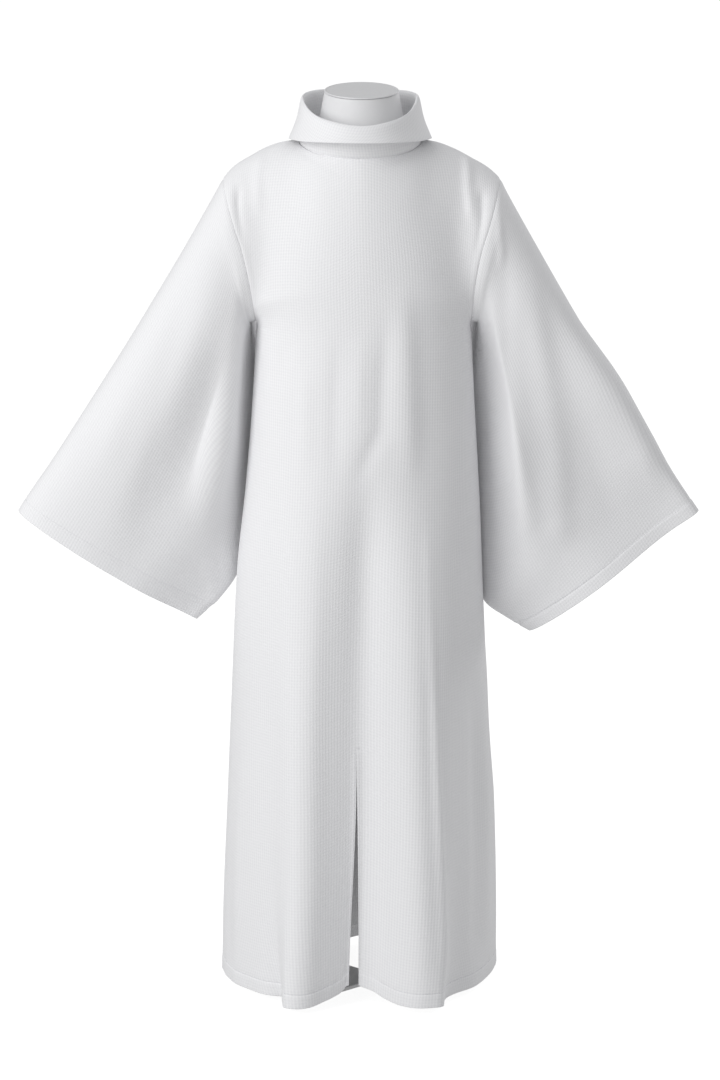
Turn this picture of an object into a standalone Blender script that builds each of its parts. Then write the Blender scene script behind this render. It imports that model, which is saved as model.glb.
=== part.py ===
"""Alb with a fold-over collar and wide sleeves, hanging on a limbless dress form.

Frame: X to the wearer's left, Y to the wearer's back, Z up, metres.
The origin is the centre of the underside of the stand's base, on the floor.
Each cut piece of the alb is one solid with a thin wall of its own. Pieces that
are sewn together share one seam line and stop half a seam gap short of it.
"""

import math

import bmesh
import bpy
from mathutils import Vector

WALL = 0.002
SEAM_GAP = 0.0003
REST_GAP = 0.0004

HEM_Z = 0.012
ARMPIT_Z = 1.134
SHOULDER_POINT = (0.2270, 0.000, 1.3675)
ARMHOLE_REACH = {-1: 0.080, 1: 0.076}
CHEST_RISE = 0.22
TOP_TURN = math.radians(56.0)
FOLD_TOP_Z = 0.98
STEP_TOP_Z = 0.30
HEM_SPREAD = 0.045
HEM_EDGE = 0.06
LIFT_TOP = 0.40
SHOULDER_INSET = 0.40
ARMHOLE_INSET = 0.30

VENT_TOP_Z = 0.4425
VENT_HALF_GAP = 0.0082

NECK_CENTRE_X = -0.002
NECK_HALF_WIDTH = 0.1005
NECK_FRONT = (-0.100, 1.4150)
NECK_SIDE = (0.012, 1.4305)
NECK_BACK = (0.078, 1.4370)

SHOULDER_COLUMNS = 10
NECK_COLUMNS = {-1: 20, 1: 18}
SLEEVE_ROUND = 0.9
ARMHOLE_EASE = 0.35
PUSH_TOP = 0.45
FOLD_MIDDLE = 0.55
RELAX_ROUNDS = 6
ARMHOLE_RISES = (0.0, 0.095, 0.165, 0.235, 0.305, 0.375, 0.445, 0.515, 0.585, 0.655, 0.725, 0.795, 0.865, 0.93, 1.0)
SLEEVE_RUNS = (0.0, 0.03, 0.07, 0.12, 0.19, 0.27, 0.36, 0.45, 0.54, 0.63, 0.72, 0.81, 0.905, 1.0)
ROW_HEIGHTS = (0.012, 0.045, 0.105, 0.19, 0.29, 0.4425, 0.56, 0.68, 0.79, 0.89, 0.98, 1.06, 1.134)

POLE_X = 0.006
POLE_RADIUS = 0.011
POLE_SIDES = 24
BASE_ARMS = 4
BASE_REACH = 0.130
BASE_WIDTH = 0.048
BASE_THICK = 0.006
TORSO_BOTTOM_Z = 0.740
CAP_THICK = 0.003
CAP_TILT = math.radians(6.0)
CAP_Z = 1.5160
CAP_RADIUS = 0.0608
CAP_Y = -0.008
CAP_EDGE = 0.0008
CAP_EDGE_RISE = 0.0006
FORM_SIDES = 28
FORM_X = 0.002
NECK_Y = -0.006
# The form's shoulders: their reach to the front and the back, and how they fall away there.
RIDGE_FRONT_Y = -0.076
RIDGE_BACK_Y = 0.074
RIDGE_BACK_TAPER = 0.004
RIDGE_Y = 0.009
RIDGE_FALL = 9.6
RIDGE_FLAT = 0.62
RIDGE_FLAT_REACH = 0.10
RIDGE_ROUND = 1.8
RIDGE_RINGS = 8
# Where the ridge meets the neck it stays inside the neck seam and under it.
NECK_FOOT_IN = 0.0055
NECK_FOOT_DOWN = 0.0022
NECK_DIP = 0.0014
SHARP_ANGLE = math.radians(35.0)

# Colour, roughness and metallic value of each finish.
FINISHES = {
    "white_cloth": ((0.94, 0.94, 0.95, 1.0), 0.88, 0.0),
    "form_shell": ((0.84, 0.84, 0.85, 1.0), 0.55, 0.0),
    "form_cap": ((0.80, 0.80, 0.81, 1.0), 0.42, 0.0),
    "stand_metal": ((0.92, 0.92, 0.92, 1.0), 0.40, 0.0),
}


class Table:
    """Rows of sizes under named columns, read between rows by a curve that never overshoots."""

    def __init__(self, names, rows):
        self.keys = [row[0] for row in rows]
        self.columns = {}
        for index, name in enumerate(names[1:], start=1):
            values = [row[index] for row in rows]
            self.columns[name] = (values, self._slopes(values))

    def _slopes(self, values):
        keys = self.keys
        steps = [
            (values[i + 1] - values[i]) / (keys[i + 1] - keys[i]) for i in range(len(keys) - 1)
        ]
        slopes = [steps[0]]
        for before, after in zip(steps, steps[1:]):
            slopes.append(0.0 if before * after <= 0 else 2 * before * after / (before + after))
        slopes.append(steps[-1])
        return slopes

    def at(self, name, key):
        values, slopes = self.columns[name]
        keys = self.keys
        if key <= keys[0]:
            return values[0]
        if key >= keys[-1]:
            return values[-1]
        i = max(n for n in range(len(keys) - 1) if keys[n] <= key)
        span = keys[i + 1] - keys[i]
        t = (key - keys[i]) / span
        return (
            values[i] * (1 + 2 * t) * (1 - t) ** 2
            + slopes[i] * span * t * (1 - t) ** 2
            + values[i + 1] * t * t * (3 - 2 * t)
            + slopes[i + 1] * span * t * t * (t - 1)
        )


TRUNK = Table(
    ("z", "half_width", "centre_x", "side_y", "side_skew", "front_y", "back_y", "fullness"),
    (
        (0.012, 0.2312, -0.0050, 0.060, 0.025, -0.184, 0.200, 1.85),
        (0.130, 0.2290, -0.0045, 0.054, 0.022, -0.179, 0.187, 1.88),
        (0.315, 0.2222, -0.0031, 0.046, 0.018, -0.170, 0.169, 1.92),
        (0.488, 0.2135, -0.0042, 0.038, 0.014, -0.161, 0.155, 1.96),
        (0.703, 0.2046, -0.0030, 0.028, 0.008, -0.151, 0.139, 2.00),
        (0.865, 0.1925, 0.0016, 0.020, 0.004, -0.144, 0.129, 2.05),
        (1.000, 0.1828, 0.0032, 0.014, 0.002, -0.138, 0.120, 2.10),
        (1.134, 0.1762, 0.0040, 0.008, 0.000, -0.134, 0.116, 2.15),
    ),
)

UPPER = Table(
    ("rise", "front_y", "front_z", "back_y", "back_z", "fullness"),
    (
        (0.00, -0.134, 1.134, 0.116, 1.134, 2.15),
        (0.15, -0.134, 1.178, 0.119, 1.180, 2.15),
        (0.35, -0.133, 1.235, 0.121, 1.241, 2.15),
        (0.60, -0.127, 1.307, 0.117, 1.318, 2.10),
        (0.82, -0.116, 1.368, 0.104, 1.386, 2.05),
        (1.00, -0.100, 1.415, 0.078, 1.437, 2.00),
    ),
)

ARMHOLE = Table(
    ("z", "half_width"),
    (
        (1.134, 0.1762),
        (1.150, 0.1785),
        (1.180, 0.1815),
        (1.215, 0.1865),
        (1.260, 0.1960),
        (1.300, 0.2090),
        (1.335, 0.2190),
        (1.3675, 0.2270),
    ),
)

SHOULDER = Table(
    ("share", "x", "y", "right_z", "left_z"),
    (
        (0.00, 0.1005, 0.0120, 1.4305, 1.4305),
        (0.14, 0.1180, 0.0110, 1.4292, 1.4284),
        (0.40, 0.1500, 0.0090, 1.4203, 1.4172),
        (0.64, 0.1800, 0.0060, 1.4058, 1.4022),
        (0.78, 0.1975, 0.0040, 1.3962, 1.3928),
        (0.89, 0.2110, 0.0020, 1.3862, 1.3834),
        (1.00, 0.2270, 0.0000, 1.3675, 1.3675),
    ),
)

FRONT_HEM = Table(
    ("share", "x", "y", "lift"),
    (
        (-1.00, -0.2362, 0.035, 0.000),
        (-0.90, -0.2285, -0.012, 0.000),
        (-0.80, -0.2080, -0.056, 0.000),
        (-0.70, -0.1830, -0.090, 0.000),
        (-0.60, -0.1560, -0.122, 0.000),
        (-0.50, -0.1290, -0.135, 0.000),
        (-0.45, -0.1275, -0.170, 0.000),
        (-0.40, -0.1235, -0.199, 0.000),
        (-0.35, -0.1080, -0.202, 0.000),
        (-0.30, -0.0920, -0.199, 0.001),
        (-0.20, -0.0620, -0.184, 0.006),
        (-0.10, -0.0345, -0.172, 0.013),
        (0.00, -0.0130, -0.165, 0.024),
        (0.10, 0.0130, -0.167, 0.019),
        (0.20, 0.0400, -0.181, 0.010),
        (0.30, 0.0680, -0.194, 0.003),
        (0.40, 0.0970, -0.199, 0.001),
        (0.50, 0.1260, -0.198, 0.001),
        (0.55, 0.1345, -0.190, 0.001),
        (0.60, 0.1362, -0.163, 0.001),
        (0.65, 0.1400, -0.146, 0.000),
        (0.70, 0.1535, -0.121, 0.000),
        (0.80, 0.1830, -0.080, 0.000),
        (0.90, 0.2070, -0.010, 0.000),
        (1.00, 0.2262, 0.085, 0.000),
    ),
)

OVERARM = Table(
    ("run", "right_x", "left_x", "y", "z"),
    (
        (0.00, 0.2270, 0.2270, 0.000, 1.3675),
        (0.06, 0.2460, 0.2450, 0.000, 1.3335),
        (0.36, 0.3430, 0.3400, 0.002, 1.1660),
        (0.66, 0.4485, 0.4405, 0.004, 0.9985),
        (0.84, 0.5135, 0.5015, 0.004, 0.8985),
        (0.96, 0.5595, 0.5475, 0.004, 0.8310),
        (1.00, 0.5700, 0.5600, 0.004, 0.8130),
    ),
)

UNDERARM = Table(
    ("run", "right_x", "left_x", "y", "right_z", "left_z", "right_push", "left_push", "tuck"),
    (
        (0.00, 0.1722, 0.1802, 0.008, 1.1340, 1.1340, 0.000, 0.000, 0.000),
        (0.03, 0.1845, 0.1930, 0.012, 1.1310, 1.1310, 0.000, 0.000, 0.002),
        (0.07, 0.1830, 0.1915, 0.028, 1.1130, 1.1130, 0.004, 0.004, 0.010),
        (0.12, 0.1775, 0.1865, 0.044, 1.0840, 1.0840, 0.012, 0.014, 0.014),
        (0.20, 0.1705, 0.1785, 0.060, 1.0400, 1.0400, 0.021, 0.025, 0.012),
        (0.40, 0.1690, 0.1760, 0.082, 0.9380, 0.9300, 0.026, 0.030, 0.008),
        (0.60, 0.1740, 0.1770, 0.090, 0.8370, 0.8100, 0.032, 0.030, 0.004),
        (0.75, 0.1850, 0.1850, 0.086, 0.7600, 0.7150, 0.028, 0.020, 0.002),
        (0.86, 0.2050, 0.2060, 0.068, 0.7000, 0.6470, 0.012, 0.008, 0.000),
        (0.94, 0.2390, 0.2440, 0.049, 0.6560, 0.6220, 0.003, 0.003, 0.000),
        (1.00, 0.2765, 0.2815, 0.030, 0.6240, 0.6040, 0.000, 0.000, 0.000),
    ),
)

SLEEVE_DEPTH = Table(
    ("run", "front", "back"),
    (
        (0.00, 0.080, 0.076),
        (0.25, 0.098, 0.060),
        (0.50, 0.100, 0.050),
        (0.75, 0.088, 0.046),
        (1.00, 0.068, 0.050),
    ),
)

SLEEVE_FOLDS = (
    {"hand": -1, "side": -1, "centre": 0.24, "width": 0.26, "middle": 0.036, "cuff": 0.000},
    {"hand": 1, "side": -1, "centre": 0.28, "width": 0.24, "middle": 0.028, "cuff": 0.000},
    {"hand": -1, "side": -1, "centre": 0.62, "width": 0.20, "middle": 0.008, "cuff": 0.000},
    {"hand": -1, "side": -1, "centre": 0.42, "width": 0.20, "middle": -0.018, "cuff": -0.004},
    {"hand": -1, "side": -1, "centre": 0.21, "width": 0.22, "middle": 0.000, "cuff": -0.020},
    {"hand": 1, "side": -1, "centre": 0.62, "width": 0.28, "middle": -0.018, "cuff": -0.020},
    {"hand": 1, "side": -1, "centre": 0.73, "width": 0.28, "middle": 0.000, "cuff": -0.030},
    {"hand": 1, "side": -1, "centre": 0.40, "width": 0.20, "middle": 0.012, "cuff": -0.002},
    {"hand": -1, "side": 1, "centre": 0.50, "width": 0.24, "middle": -0.014, "cuff": -0.006},
    {"hand": 1, "side": 1, "centre": 0.54, "width": 0.24, "middle": -0.012, "cuff": -0.008},
)

BACK_FOLDS = (
    {"centre": -0.62, "width": 0.20, "depth": 0.016},
    {"centre": -0.30, "width": 0.22, "depth": -0.014},
    {"centre": 0.05, "width": 0.22, "depth": 0.016},
    {"centre": 0.38, "width": 0.22, "depth": -0.012},
    {"centre": 0.68, "width": 0.20, "depth": 0.014},
)

COLLAR = Table(
    ("step", "half_width", "front_y", "side_y", "back_y", "front_z", "side_z", "back_z"),
    (
        (0.0, 0.1005, -0.1000, 0.012, 0.0780, 1.4150, 1.4305, 1.4370),
        (1.0, 0.0970, -0.1105, 0.008, 0.0890, 1.4420, 1.4680, 1.4720),
        (2.0, 0.0920, -0.1175, 0.004, 0.0975, 1.4665, 1.5005, 1.5020),
        (2.5, 0.0936, -0.1200, 0.004, 0.1000, 1.4700, 1.5050, 1.5060),
        (3.0, 0.0960, -0.1225, 0.004, 0.1030, 1.4680, 1.5020, 1.5035),
        (4.0, 0.1036, -0.1275, 0.004, 0.1085, 1.4565, 1.4690, 1.4710),
        (5.0, 0.1166, -0.1325, 0.004, 0.1130, 1.4436, 1.4355, 1.4400),
    ),
)
COLLAR_STEPS = (0.0, 1.0, 2.0, 2.5, 3.0, 4.0, 5.0)
FALL_SHIFT = 0.0008

TORSO = Table(
    ("z", "half_width", "front_y", "back_y", "fullness"),
    (
        (0.740, 0.148, -0.104, 0.112, 2.2),
        (0.760, 0.156, -0.110, 0.119, 2.2),
        (0.860, 0.168, -0.114, 0.118, 2.2),
        (0.960, 0.152, -0.102, 0.096, 2.2),
        (1.040, 0.136, -0.096, 0.082, 2.2),
        (1.130, 0.148, -0.108, 0.092, 2.2),
        (1.220, 0.160, -0.117, 0.100, 2.2),
        (1.290, 0.172, -0.104, 0.101, 2.1),
        (1.345, 0.184, -0.084, 0.088, 1.9),
        (1.380, 0.188, -0.072, 0.074, 1.7),
    ),
)
TORSO_RINGS = (0.740, 0.750, 0.770, 0.815, 0.86, 0.91, 0.96, 1.0, 1.04, 1.085, 1.13, 1.175, 1.22, 1.26, 1.29, 1.32, 1.345, 1.365)
NECK = Table(
    ("z", "half_width", "front_y", "back_y"),
    (
        (1.434, 0.0820, -0.076, 0.066),
        (1.446, 0.0765, -0.074, 0.062),
        (1.474, 0.0686, -0.072, 0.058),
        (1.512, 0.0605, -0.068, 0.052),
    ),
)
NECK_RINGS = (1.434, 1.440, 1.446, 1.458, 1.474, 1.495)


def clamp(value, low=0.0, high=1.0):
    return max(low, min(high, value))


def ease(value):
    t = clamp(value)
    return t * t * (3 - 2 * t)


def bump(offset, width):
    return 0.5 + 0.5 * math.cos(math.pi * clamp(abs(offset) / width))


def signed_power(value, power):
    return math.copysign(abs(value) ** power, value)


def armhole_point(hand, side, rise):
    """Point of an armhole seam; hand -1 or 1, side -1 front or 1 back, rise 0 armpit to 1 shoulder."""
    z = ARMPIT_Z + (SHOULDER_POINT[2] - ARMPIT_Z) * (1 - math.cos(math.pi * rise)) / 2
    fade = 1 - rise
    x = hand * ARMHOLE.at("half_width", z) + TRUNK.at("centre_x", ARMPIT_Z) * fade**2
    y = TRUNK.at("side_y", ARMPIT_Z) * fade
    y += side * ARMHOLE_REACH[side] * math.sin(math.pi * clamp(rise)) ** SLEEVE_ROUND
    return Vector((x, y, z))


def side_point(hand, v):
    z = HEM_Z + (ARMPIT_Z - HEM_Z) * v
    x = TRUNK.at("centre_x", z) + hand * TRUNK.at("half_width", z)
    y = TRUNK.at("side_y", z) + hand * TRUNK.at("side_skew", z)
    return Vector((x, y, z))


def neck_point(side, turn):
    """Neck seam; turn runs from -1 at the right shoulder over 0 at the middle to 1 at the left."""
    angle = turn * math.pi / 2
    mid_y, mid_z = NECK_FRONT if side < 0 else NECK_BACK
    x = NECK_CENTRE_X + NECK_HALF_WIDTH * math.sin(angle)
    y = NECK_SIDE[0] + (mid_y - NECK_SIDE[0]) * math.cos(angle)
    z = NECK_SIDE[1] + (mid_z - NECK_SIDE[1]) * math.cos(angle)
    return Vector((x, y, z))


def shoulder_point(hand, share):
    x = hand * SHOULDER.at("x", share) + NECK_CENTRE_X * (1 - share)
    z = SHOULDER.at("left_z" if hand > 0 else "right_z", share)
    return Vector((x, SHOULDER.at("y", share), z))


def neck_share(side):
    return NECK_COLUMNS[side] / (NECK_COLUMNS[side] + 2 * SHOULDER_COLUMNS)


def top_point(side, s):
    reach = neck_share(side)
    if abs(s) <= reach + 1e-9:
        return neck_point(side, clamp(s / reach, -1, 1))
    return shoulder_point(1 if s > 0 else -1, (abs(s) - reach) / (1 - reach))


def row_shape(right, left, mid, turn, fullness, s):
    """Point at share s of an arc from the right edge over the middle to the left edge."""
    power = 2.0 / fullness
    end_sin, end_cos = math.sin(turn), max(math.cos(turn), 0.0)
    g = signed_power(math.sin(s * turn), power) / end_sin**power
    low = end_cos**power
    h = (max(math.cos(s * turn), 0.0) ** power - low) / (1 - low)
    edge = right.lerp(left, (g + 1) / 2)
    return edge + (mid - (right + left) / 2) * h


def row_turn(side, rise):
    """Half angle of the arc left between the armholes, which cut into the body's section."""
    r = min(rise, 0.5)
    start = TRUNK.at("side_y", ARMPIT_Z)
    edge = armhole_point(1, side, r).y
    mid = UPPER.at("front_y" if side < 0 else "back_y", r)
    share = clamp((edge - start) / (mid - start))
    turn = math.acos(share ** (UPPER.at("fullness", r) / 2))
    return turn + (TOP_TURN - turn) * ease((rise - 0.5) / 0.5)


def smooth_panel(side, s, v):
    if v <= 1.0:
        right, left = side_point(-1, v), side_point(1, v)
        z = right.z
        mid_y = TRUNK.at("front_y" if side < 0 else "back_y", z)
        mid = Vector(((right.x + left.x) / 2, mid_y, z))
        return row_shape(right, left, mid, math.pi / 2, TRUNK.at("fullness", z), s)
    rise = v - 1
    right, left = armhole_point(-1, side, rise), armhole_point(1, side, rise)
    name = "front" if side < 0 else "back"
    shift = TRUNK.at("centre_x", ARMPIT_Z) * (1 - rise) ** 2 + NECK_CENTRE_X * rise
    mid = Vector((shift, UPPER.at(name + "_y", rise), UPPER.at(name + "_z", rise)))
    return row_shape(right, left, mid, row_turn(side, rise), UPPER.at("fullness", rise), s)


def hem_shift(s):
    """How far the front hem lies from the plain section there, in X and Y."""
    plain = smooth_panel(-1, s, 0.0)
    return Vector((FRONT_HEM.at("x", s) - plain.x, FRONT_HEM.at("y", s) - plain.y, 0.0))


def soft_hem_shift(s):
    total, weights = Vector((0, 0, 0)), 0.0
    for step in range(-3, 4):
        weight = 4 - abs(step)
        total += weight * hem_shift(clamp(s + step * HEM_SPREAD, -1, 1))
        weights += weight
    return total / weights * (1 - abs(s) ** 8)


def shoulder_blend(point, side, s, t):
    """Draws the rows over the chest up to the shoulder and neck seams, rounded over the shoulder."""
    late, early = 1 - math.cos(math.pi * t / 2), math.sin(math.pi * t / 2)
    top = top_point(side, s)
    gap = top - smooth_panel(side, s, 2.0)
    point += Vector((gap.x * t**2.5, gap.y * late, gap.z * early))
    chest = smooth_panel(side, s, 1 + CHEST_RISE)
    if t > 0.0:
        over = chest + Vector((0, (top.y - chest.y) * late, (top.z - chest.z) * early))
        share = ease(abs(s) / SHOULDER_INSET) * ease((1 - abs(s)) / ARMHOLE_INSET)
        point.y += (over.y - point.y) * share
        point.z += (over.z - point.z) * share
    return point


def panel_point(side, s, v):
    point = smooth_panel(side, s, v)
    if v > 1.0:
        return shoulder_blend(point, side, s, clamp((v - 1 - CHEST_RISE) / (1 - CHEST_RISE)))
    fade = clamp(1 - (point.z - HEM_Z) / (FOLD_TOP_Z - HEM_Z)) ** 1.15
    if side < 0:
        sharp = clamp(1 - (point.z - HEM_Z) / (STEP_TOP_Z - HEM_Z)) ** 1.5
        edge = ease((1 - abs(s)) / HEM_EDGE)
        point += fade * edge * soft_hem_shift(s).lerp(hem_shift(s), sharp)
        lift = FRONT_HEM.at("lift", s) * clamp(1 - (point.z - HEM_Z) / LIFT_TOP) ** 2
        point.z += lift
    else:
        push = sum(f["depth"] * bump(s - f["centre"], f["width"]) for f in BACK_FOLDS)
        point.y += fade * push
    return point


def sleeve_frame(hand, run):
    name = "left" if hand > 0 else "right"
    top = Vector((hand * OVERARM.at(name + "_x", run), OVERARM.at("y", run), OVERARM.at("z", run)))
    low = Vector(
        (hand * UNDERARM.at(name + "_x", run), UNDERARM.at("y", run), UNDERARM.at(name + "_z", run))
    )
    return top, low


def plain_sleeve(hand, side, rise, run):
    top, low = sleeve_frame(hand, run)
    depth = SLEEVE_DEPTH.at("front" if side < 0 else "back", run)
    point = low.lerp(top, (1 - math.cos(math.pi * rise)) / 2)
    point.y += side * depth * math.sin(math.pi * clamp(rise)) ** SLEEVE_ROUND
    if side < 0:
        push = UNDERARM.at("left_push" if hand > 0 else "right_push", run)
    else:
        push = -UNDERARM.at("tuck", run)
    point.x += hand * push * math.sin(math.pi * clamp(rise / PUSH_TOP)) ** 1.2
    return point


def sleeve_point(hand, side, rise, run):
    """Point of a sleeve; rise 0 underarm to 1 overarm, run 0 armhole to 1 cuff."""
    point = plain_sleeve(hand, side, rise, run)
    gap = armhole_point(hand, side, rise) - plain_sleeve(hand, side, rise, 0.0)
    point += gap * (1 - ease(run / ARMHOLE_EASE))
    for fold in SLEEVE_FOLDS:
        if fold["side"] == side and fold["hand"] == hand:
            depth = fold["middle"] * bump(run - FOLD_MIDDLE, 0.5)
            depth += fold["cuff"] * ease((run - ARMHOLE_EASE) / (1 - ARMHOLE_EASE))
            point.y += side * depth * bump(rise - fold["centre"], fold["width"])
    return point


def ring_turns():
    """Turns of the neck seam, once round from the right shoulder over the front."""
    turns = []
    for side, direction in ((-1, 1), (1, -1)):
        count = NECK_COLUMNS[side]
        turns += [(side, direction * (2 * i / count - 1)) for i in range(count)]
    return turns


def collar_point(side, turn, step):
    angle = turn * math.pi / 2
    name = "front" if side < 0 else "back"
    side_y, side_z = COLLAR.at("side_y", step), COLLAR.at("side_z", step)
    x = NECK_CENTRE_X + COLLAR.at("half_width", step) * math.sin(angle)
    x -= FALL_SHIFT * clamp(step - 2)
    y = side_y + (COLLAR.at(name + "_y", step) - side_y) * math.cos(angle)
    z = side_z + (COLLAR.at(name + "_z", step) - side_z) * math.cos(angle)
    return Vector((x, y, z))


class Sheet:
    """Middle surface of one cut piece: points by grid place, faces facing outward, seam chains."""

    def __init__(self, name):
        self.name = name
        self.points = {}
        self.faces = []
        self.seams = []

    def add_face(self, *places):
        self.faces.append(places)


def spot(point):
    return (round(point.x, 6), round(point.y, 6), round(point.z, 6))


def panel_rows():
    rows = [(z - HEM_Z) / (ARMPIT_Z - HEM_Z) for z in ROW_HEIGHTS]
    rows += [1 + rise for rise in ARMHOLE_RISES[1:]]
    return rows


def relax(points, columns, rows):
    """Evens out the middle surface where the rows turn up over the armpits."""
    for _ in range(RELAX_ROUNDS):
        moved = {}
        for j in rows:
            for i in range(1, columns):
                beside = points[(i - 1, j)] + points[(i + 1, j)]
                above = points[(i, j - 1)] + points[(i, j + 1)]
                moved[(i, j)] = points[(i, j)] * 0.5 + (beside + above) * 0.125
        points.update(moved)


def make_panel(name, side):
    sheet = Sheet(name)
    columns = NECK_COLUMNS[side] + 2 * SHOULDER_COLUMNS
    rows = panel_rows()
    vent_row = ROW_HEIGHTS.index(VENT_TOP_Z) if side < 0 else 0
    vent_column = columns // 2
    for j, v in enumerate(rows):
        for i in range(columns + 1):
            point = panel_point(side, 2 * i / columns - 1, v)
            if i == vent_column and j < vent_row:
                height = (point.z - HEM_Z) / (VENT_TOP_Z - HEM_Z)
                half_gap = VENT_HALF_GAP * ease(1 - height)
                sheet.points[(i, j, 1)] = point + Vector((half_gap, 0, 0))
                point = point - Vector((half_gap, 0, 0))
            sheet.points[(i, j)] = point
    armpit_row = len(ROW_HEIGHTS) - 1
    relax(sheet.points, columns, range(armpit_row - 1, armpit_row + 6))
    for j in range(len(rows) - 1):
        for i in range(columns):
            corners = [(i, j), (i + 1, j), (i + 1, j + 1), (i, j + 1)]
            if i == vent_column:
                corners = [c + (1,) if c + (1,) in sheet.points else c for c in corners]
            sheet.add_face(*(corners if side < 0 else corners[::-1]))
    top, arm = len(rows) - 1, len(ROW_HEIGHTS) - 1
    left_end = columns - SHOULDER_COLUMNS
    for column in (0, columns):
        sheet.seams.append(([(column, j) for j in range(arm + 1)], False))
        sheet.seams.append(([(column, j) for j in range(arm, top + 1)], False))
    sheet.seams.append(([(i, top) for i in range(SHOULDER_COLUMNS + 1)], False))
    sheet.seams.append(([(i, top) for i in range(SHOULDER_COLUMNS, left_end + 1)], False))
    sheet.seams.append(([(i, top) for i in range(left_end, columns + 1)], False))
    return sheet


def make_sleeve(name, hand):
    sheet = Sheet(name)
    ring = [(-1, rise) for rise in ARMHOLE_RISES[:-1]]
    ring += [(1, rise) for rise in reversed(ARMHOLE_RISES[1:])]
    for j, run in enumerate(SLEEVE_RUNS):
        for i, (side, rise) in enumerate(ring):
            sheet.points[(i, j)] = sleeve_point(hand, side, rise, run)
    count = len(ring)
    for j in range(len(SLEEVE_RUNS) - 1):
        for i in range(count):
            k = (i + 1) % count
            corners = [(i, j), (k, j), (k, j + 1), (i, j + 1)]
            sheet.add_face(*(corners if hand < 0 else corners[::-1]))
    sheet.seams.append(([(i, 0) for i in range(count)], True))
    return sheet


def make_collar():
    sheet = Sheet("collar")
    ring = ring_turns()
    count = len(ring)
    for j, step in enumerate(COLLAR_STEPS):
        for i, (side, turn) in enumerate(ring):
            point = neck_point(side, turn) if j == 0 else collar_point(side, turn, step)
            sheet.points[(i, j)] = point
    for j in range(len(COLLAR_STEPS) - 1):
        for i in range(count):
            k = (i + 1) % count
            sheet.add_face((i, j), (k, j), (k, j + 1), (i, j + 1))
    sheet.seams.append(([(i, 0) for i in range(count)], True))
    return sheet


def corner_normals(points):
    """Unit normal at each corner of a face, weighted by the angle there."""
    weighted = []
    count = len(points)
    for n, here in enumerate(points):
        ahead = (points[(n + 1) % count] - here).normalized()
        behind = (points[n - 1] - here).normalized()
        normal = ahead.cross(behind)
        size = normal.length
        weighted.append(normal / size * math.atan2(size, ahead.dot(behind)) if size else normal)
    return weighted


def shared_normals(sheets):
    """Wall direction at every spot, one for all the pieces that meet there."""
    sums = {}
    for sheet in sheets:
        for face in sheet.faces:
            corners = [sheet.points[place] for place in face]
            for corner, normal in zip(corners, corner_normals(corners)):
                sums.setdefault(spot(corner), Vector((0, 0, 0)))
                sums[spot(corner)] += normal
    return {key: value.normalized() for key, value in sums.items()}


def seam_moves(sheet, normals):
    """Half a seam gap inwards from each seam, for the places on it."""
    neighbours = {}
    for face in sheet.faces:
        for place in face:
            neighbours.setdefault(place, set()).update(face)
    moves = {}
    for chain, closed in sheet.seams:
        count = len(chain)
        on_seam = set(chain)
        for n, place in enumerate(chain):
            before = chain[n - 1] if n > 0 or closed else place
            after = chain[(n + 1) % count] if n < count - 1 or closed else place
            along = (sheet.points[after] - sheet.points[before]).normalized()
            here = sheet.points[place]
            across = normals[spot(here)].cross(along).normalized()
            inside = [sheet.points[p] - here for p in neighbours[place] if p not in on_seam]
            lean = sum((v.normalized() for v in inside), Vector((0, 0, 0)))
            if across.dot(lean) < 0:
                across = -across
            moves.setdefault(place, Vector((0, 0, 0)))
            moves[place] += across * SEAM_GAP / 2
    return moves


def finish_material(name):
    """Principled material of that name from the table of finishes, made once."""
    material = bpy.data.materials.get(name)
    if material is None:
        colour, roughness, metallic = FINISHES[name]
        material = bpy.data.materials.new(name)
        material.use_nodes = True
        material.diffuse_color = colour
        shader = material.node_tree.nodes["Principled BSDF"]
        shader.inputs["Base Color"].default_value = colour
        shader.inputs["Roughness"].default_value = roughness
        shader.inputs["Metallic"].default_value = metallic
    return material


def add_object(name, vertices, faces, finish):
    mesh = bpy.data.meshes.new(name)
    mesh.from_pydata([tuple(v) for v in vertices], [], faces)
    shape = bmesh.new()
    shape.from_mesh(mesh)
    bmesh.ops.triangulate(shape, faces=shape.faces[:], quad_method="FIXED")
    shape.to_mesh(mesh)
    shape.free()
    mesh.shade_smooth()
    mesh.set_sharp_from_angle(angle=SHARP_ANGLE)
    mesh.update()
    mesh.materials.append(finish_material(finish))
    thing = bpy.data.objects.new(name, mesh)
    bpy.context.scene.collection.objects.link(thing)
    return thing


def build_wall(sheet, normals):
    """The solid of one cut piece: its middle surface thickened to both sides."""
    moves = seam_moves(sheet, normals)
    places = list(sheet.points)
    index = {place: n for n, place in enumerate(places)}
    count = len(places)
    outer, inner = [], []
    for place in places:
        here = sheet.points[place]
        middle = here + moves.get(place, Vector((0, 0, 0)))
        outer.append(middle + normals[spot(here)] * WALL / 2)
        inner.append(middle - normals[spot(here)] * WALL / 2)
    faces, edges = [], {}
    for face in sheet.faces:
        ids = [index[place] for place in face]
        faces.append(ids)
        faces.append([n + count for n in ids[:1] + ids[:0:-1]])
        for a, b in zip(ids, ids[1:] + ids[:1]):
            edges[(a, b)] = True
    for a, b in edges:
        if (b, a) not in edges:
            a_in, b_in = a + count, b + count
            if spot(sheet.points[places[a]]) < spot(sheet.points[places[b]]):
                faces += [[b, a, b_in], [a, a_in, b_in]]
            else:
                faces += [[b, a, a_in], [b, a_in, b_in]]
    return add_object(sheet.name, outer + inner, faces, "white_cloth")


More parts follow.
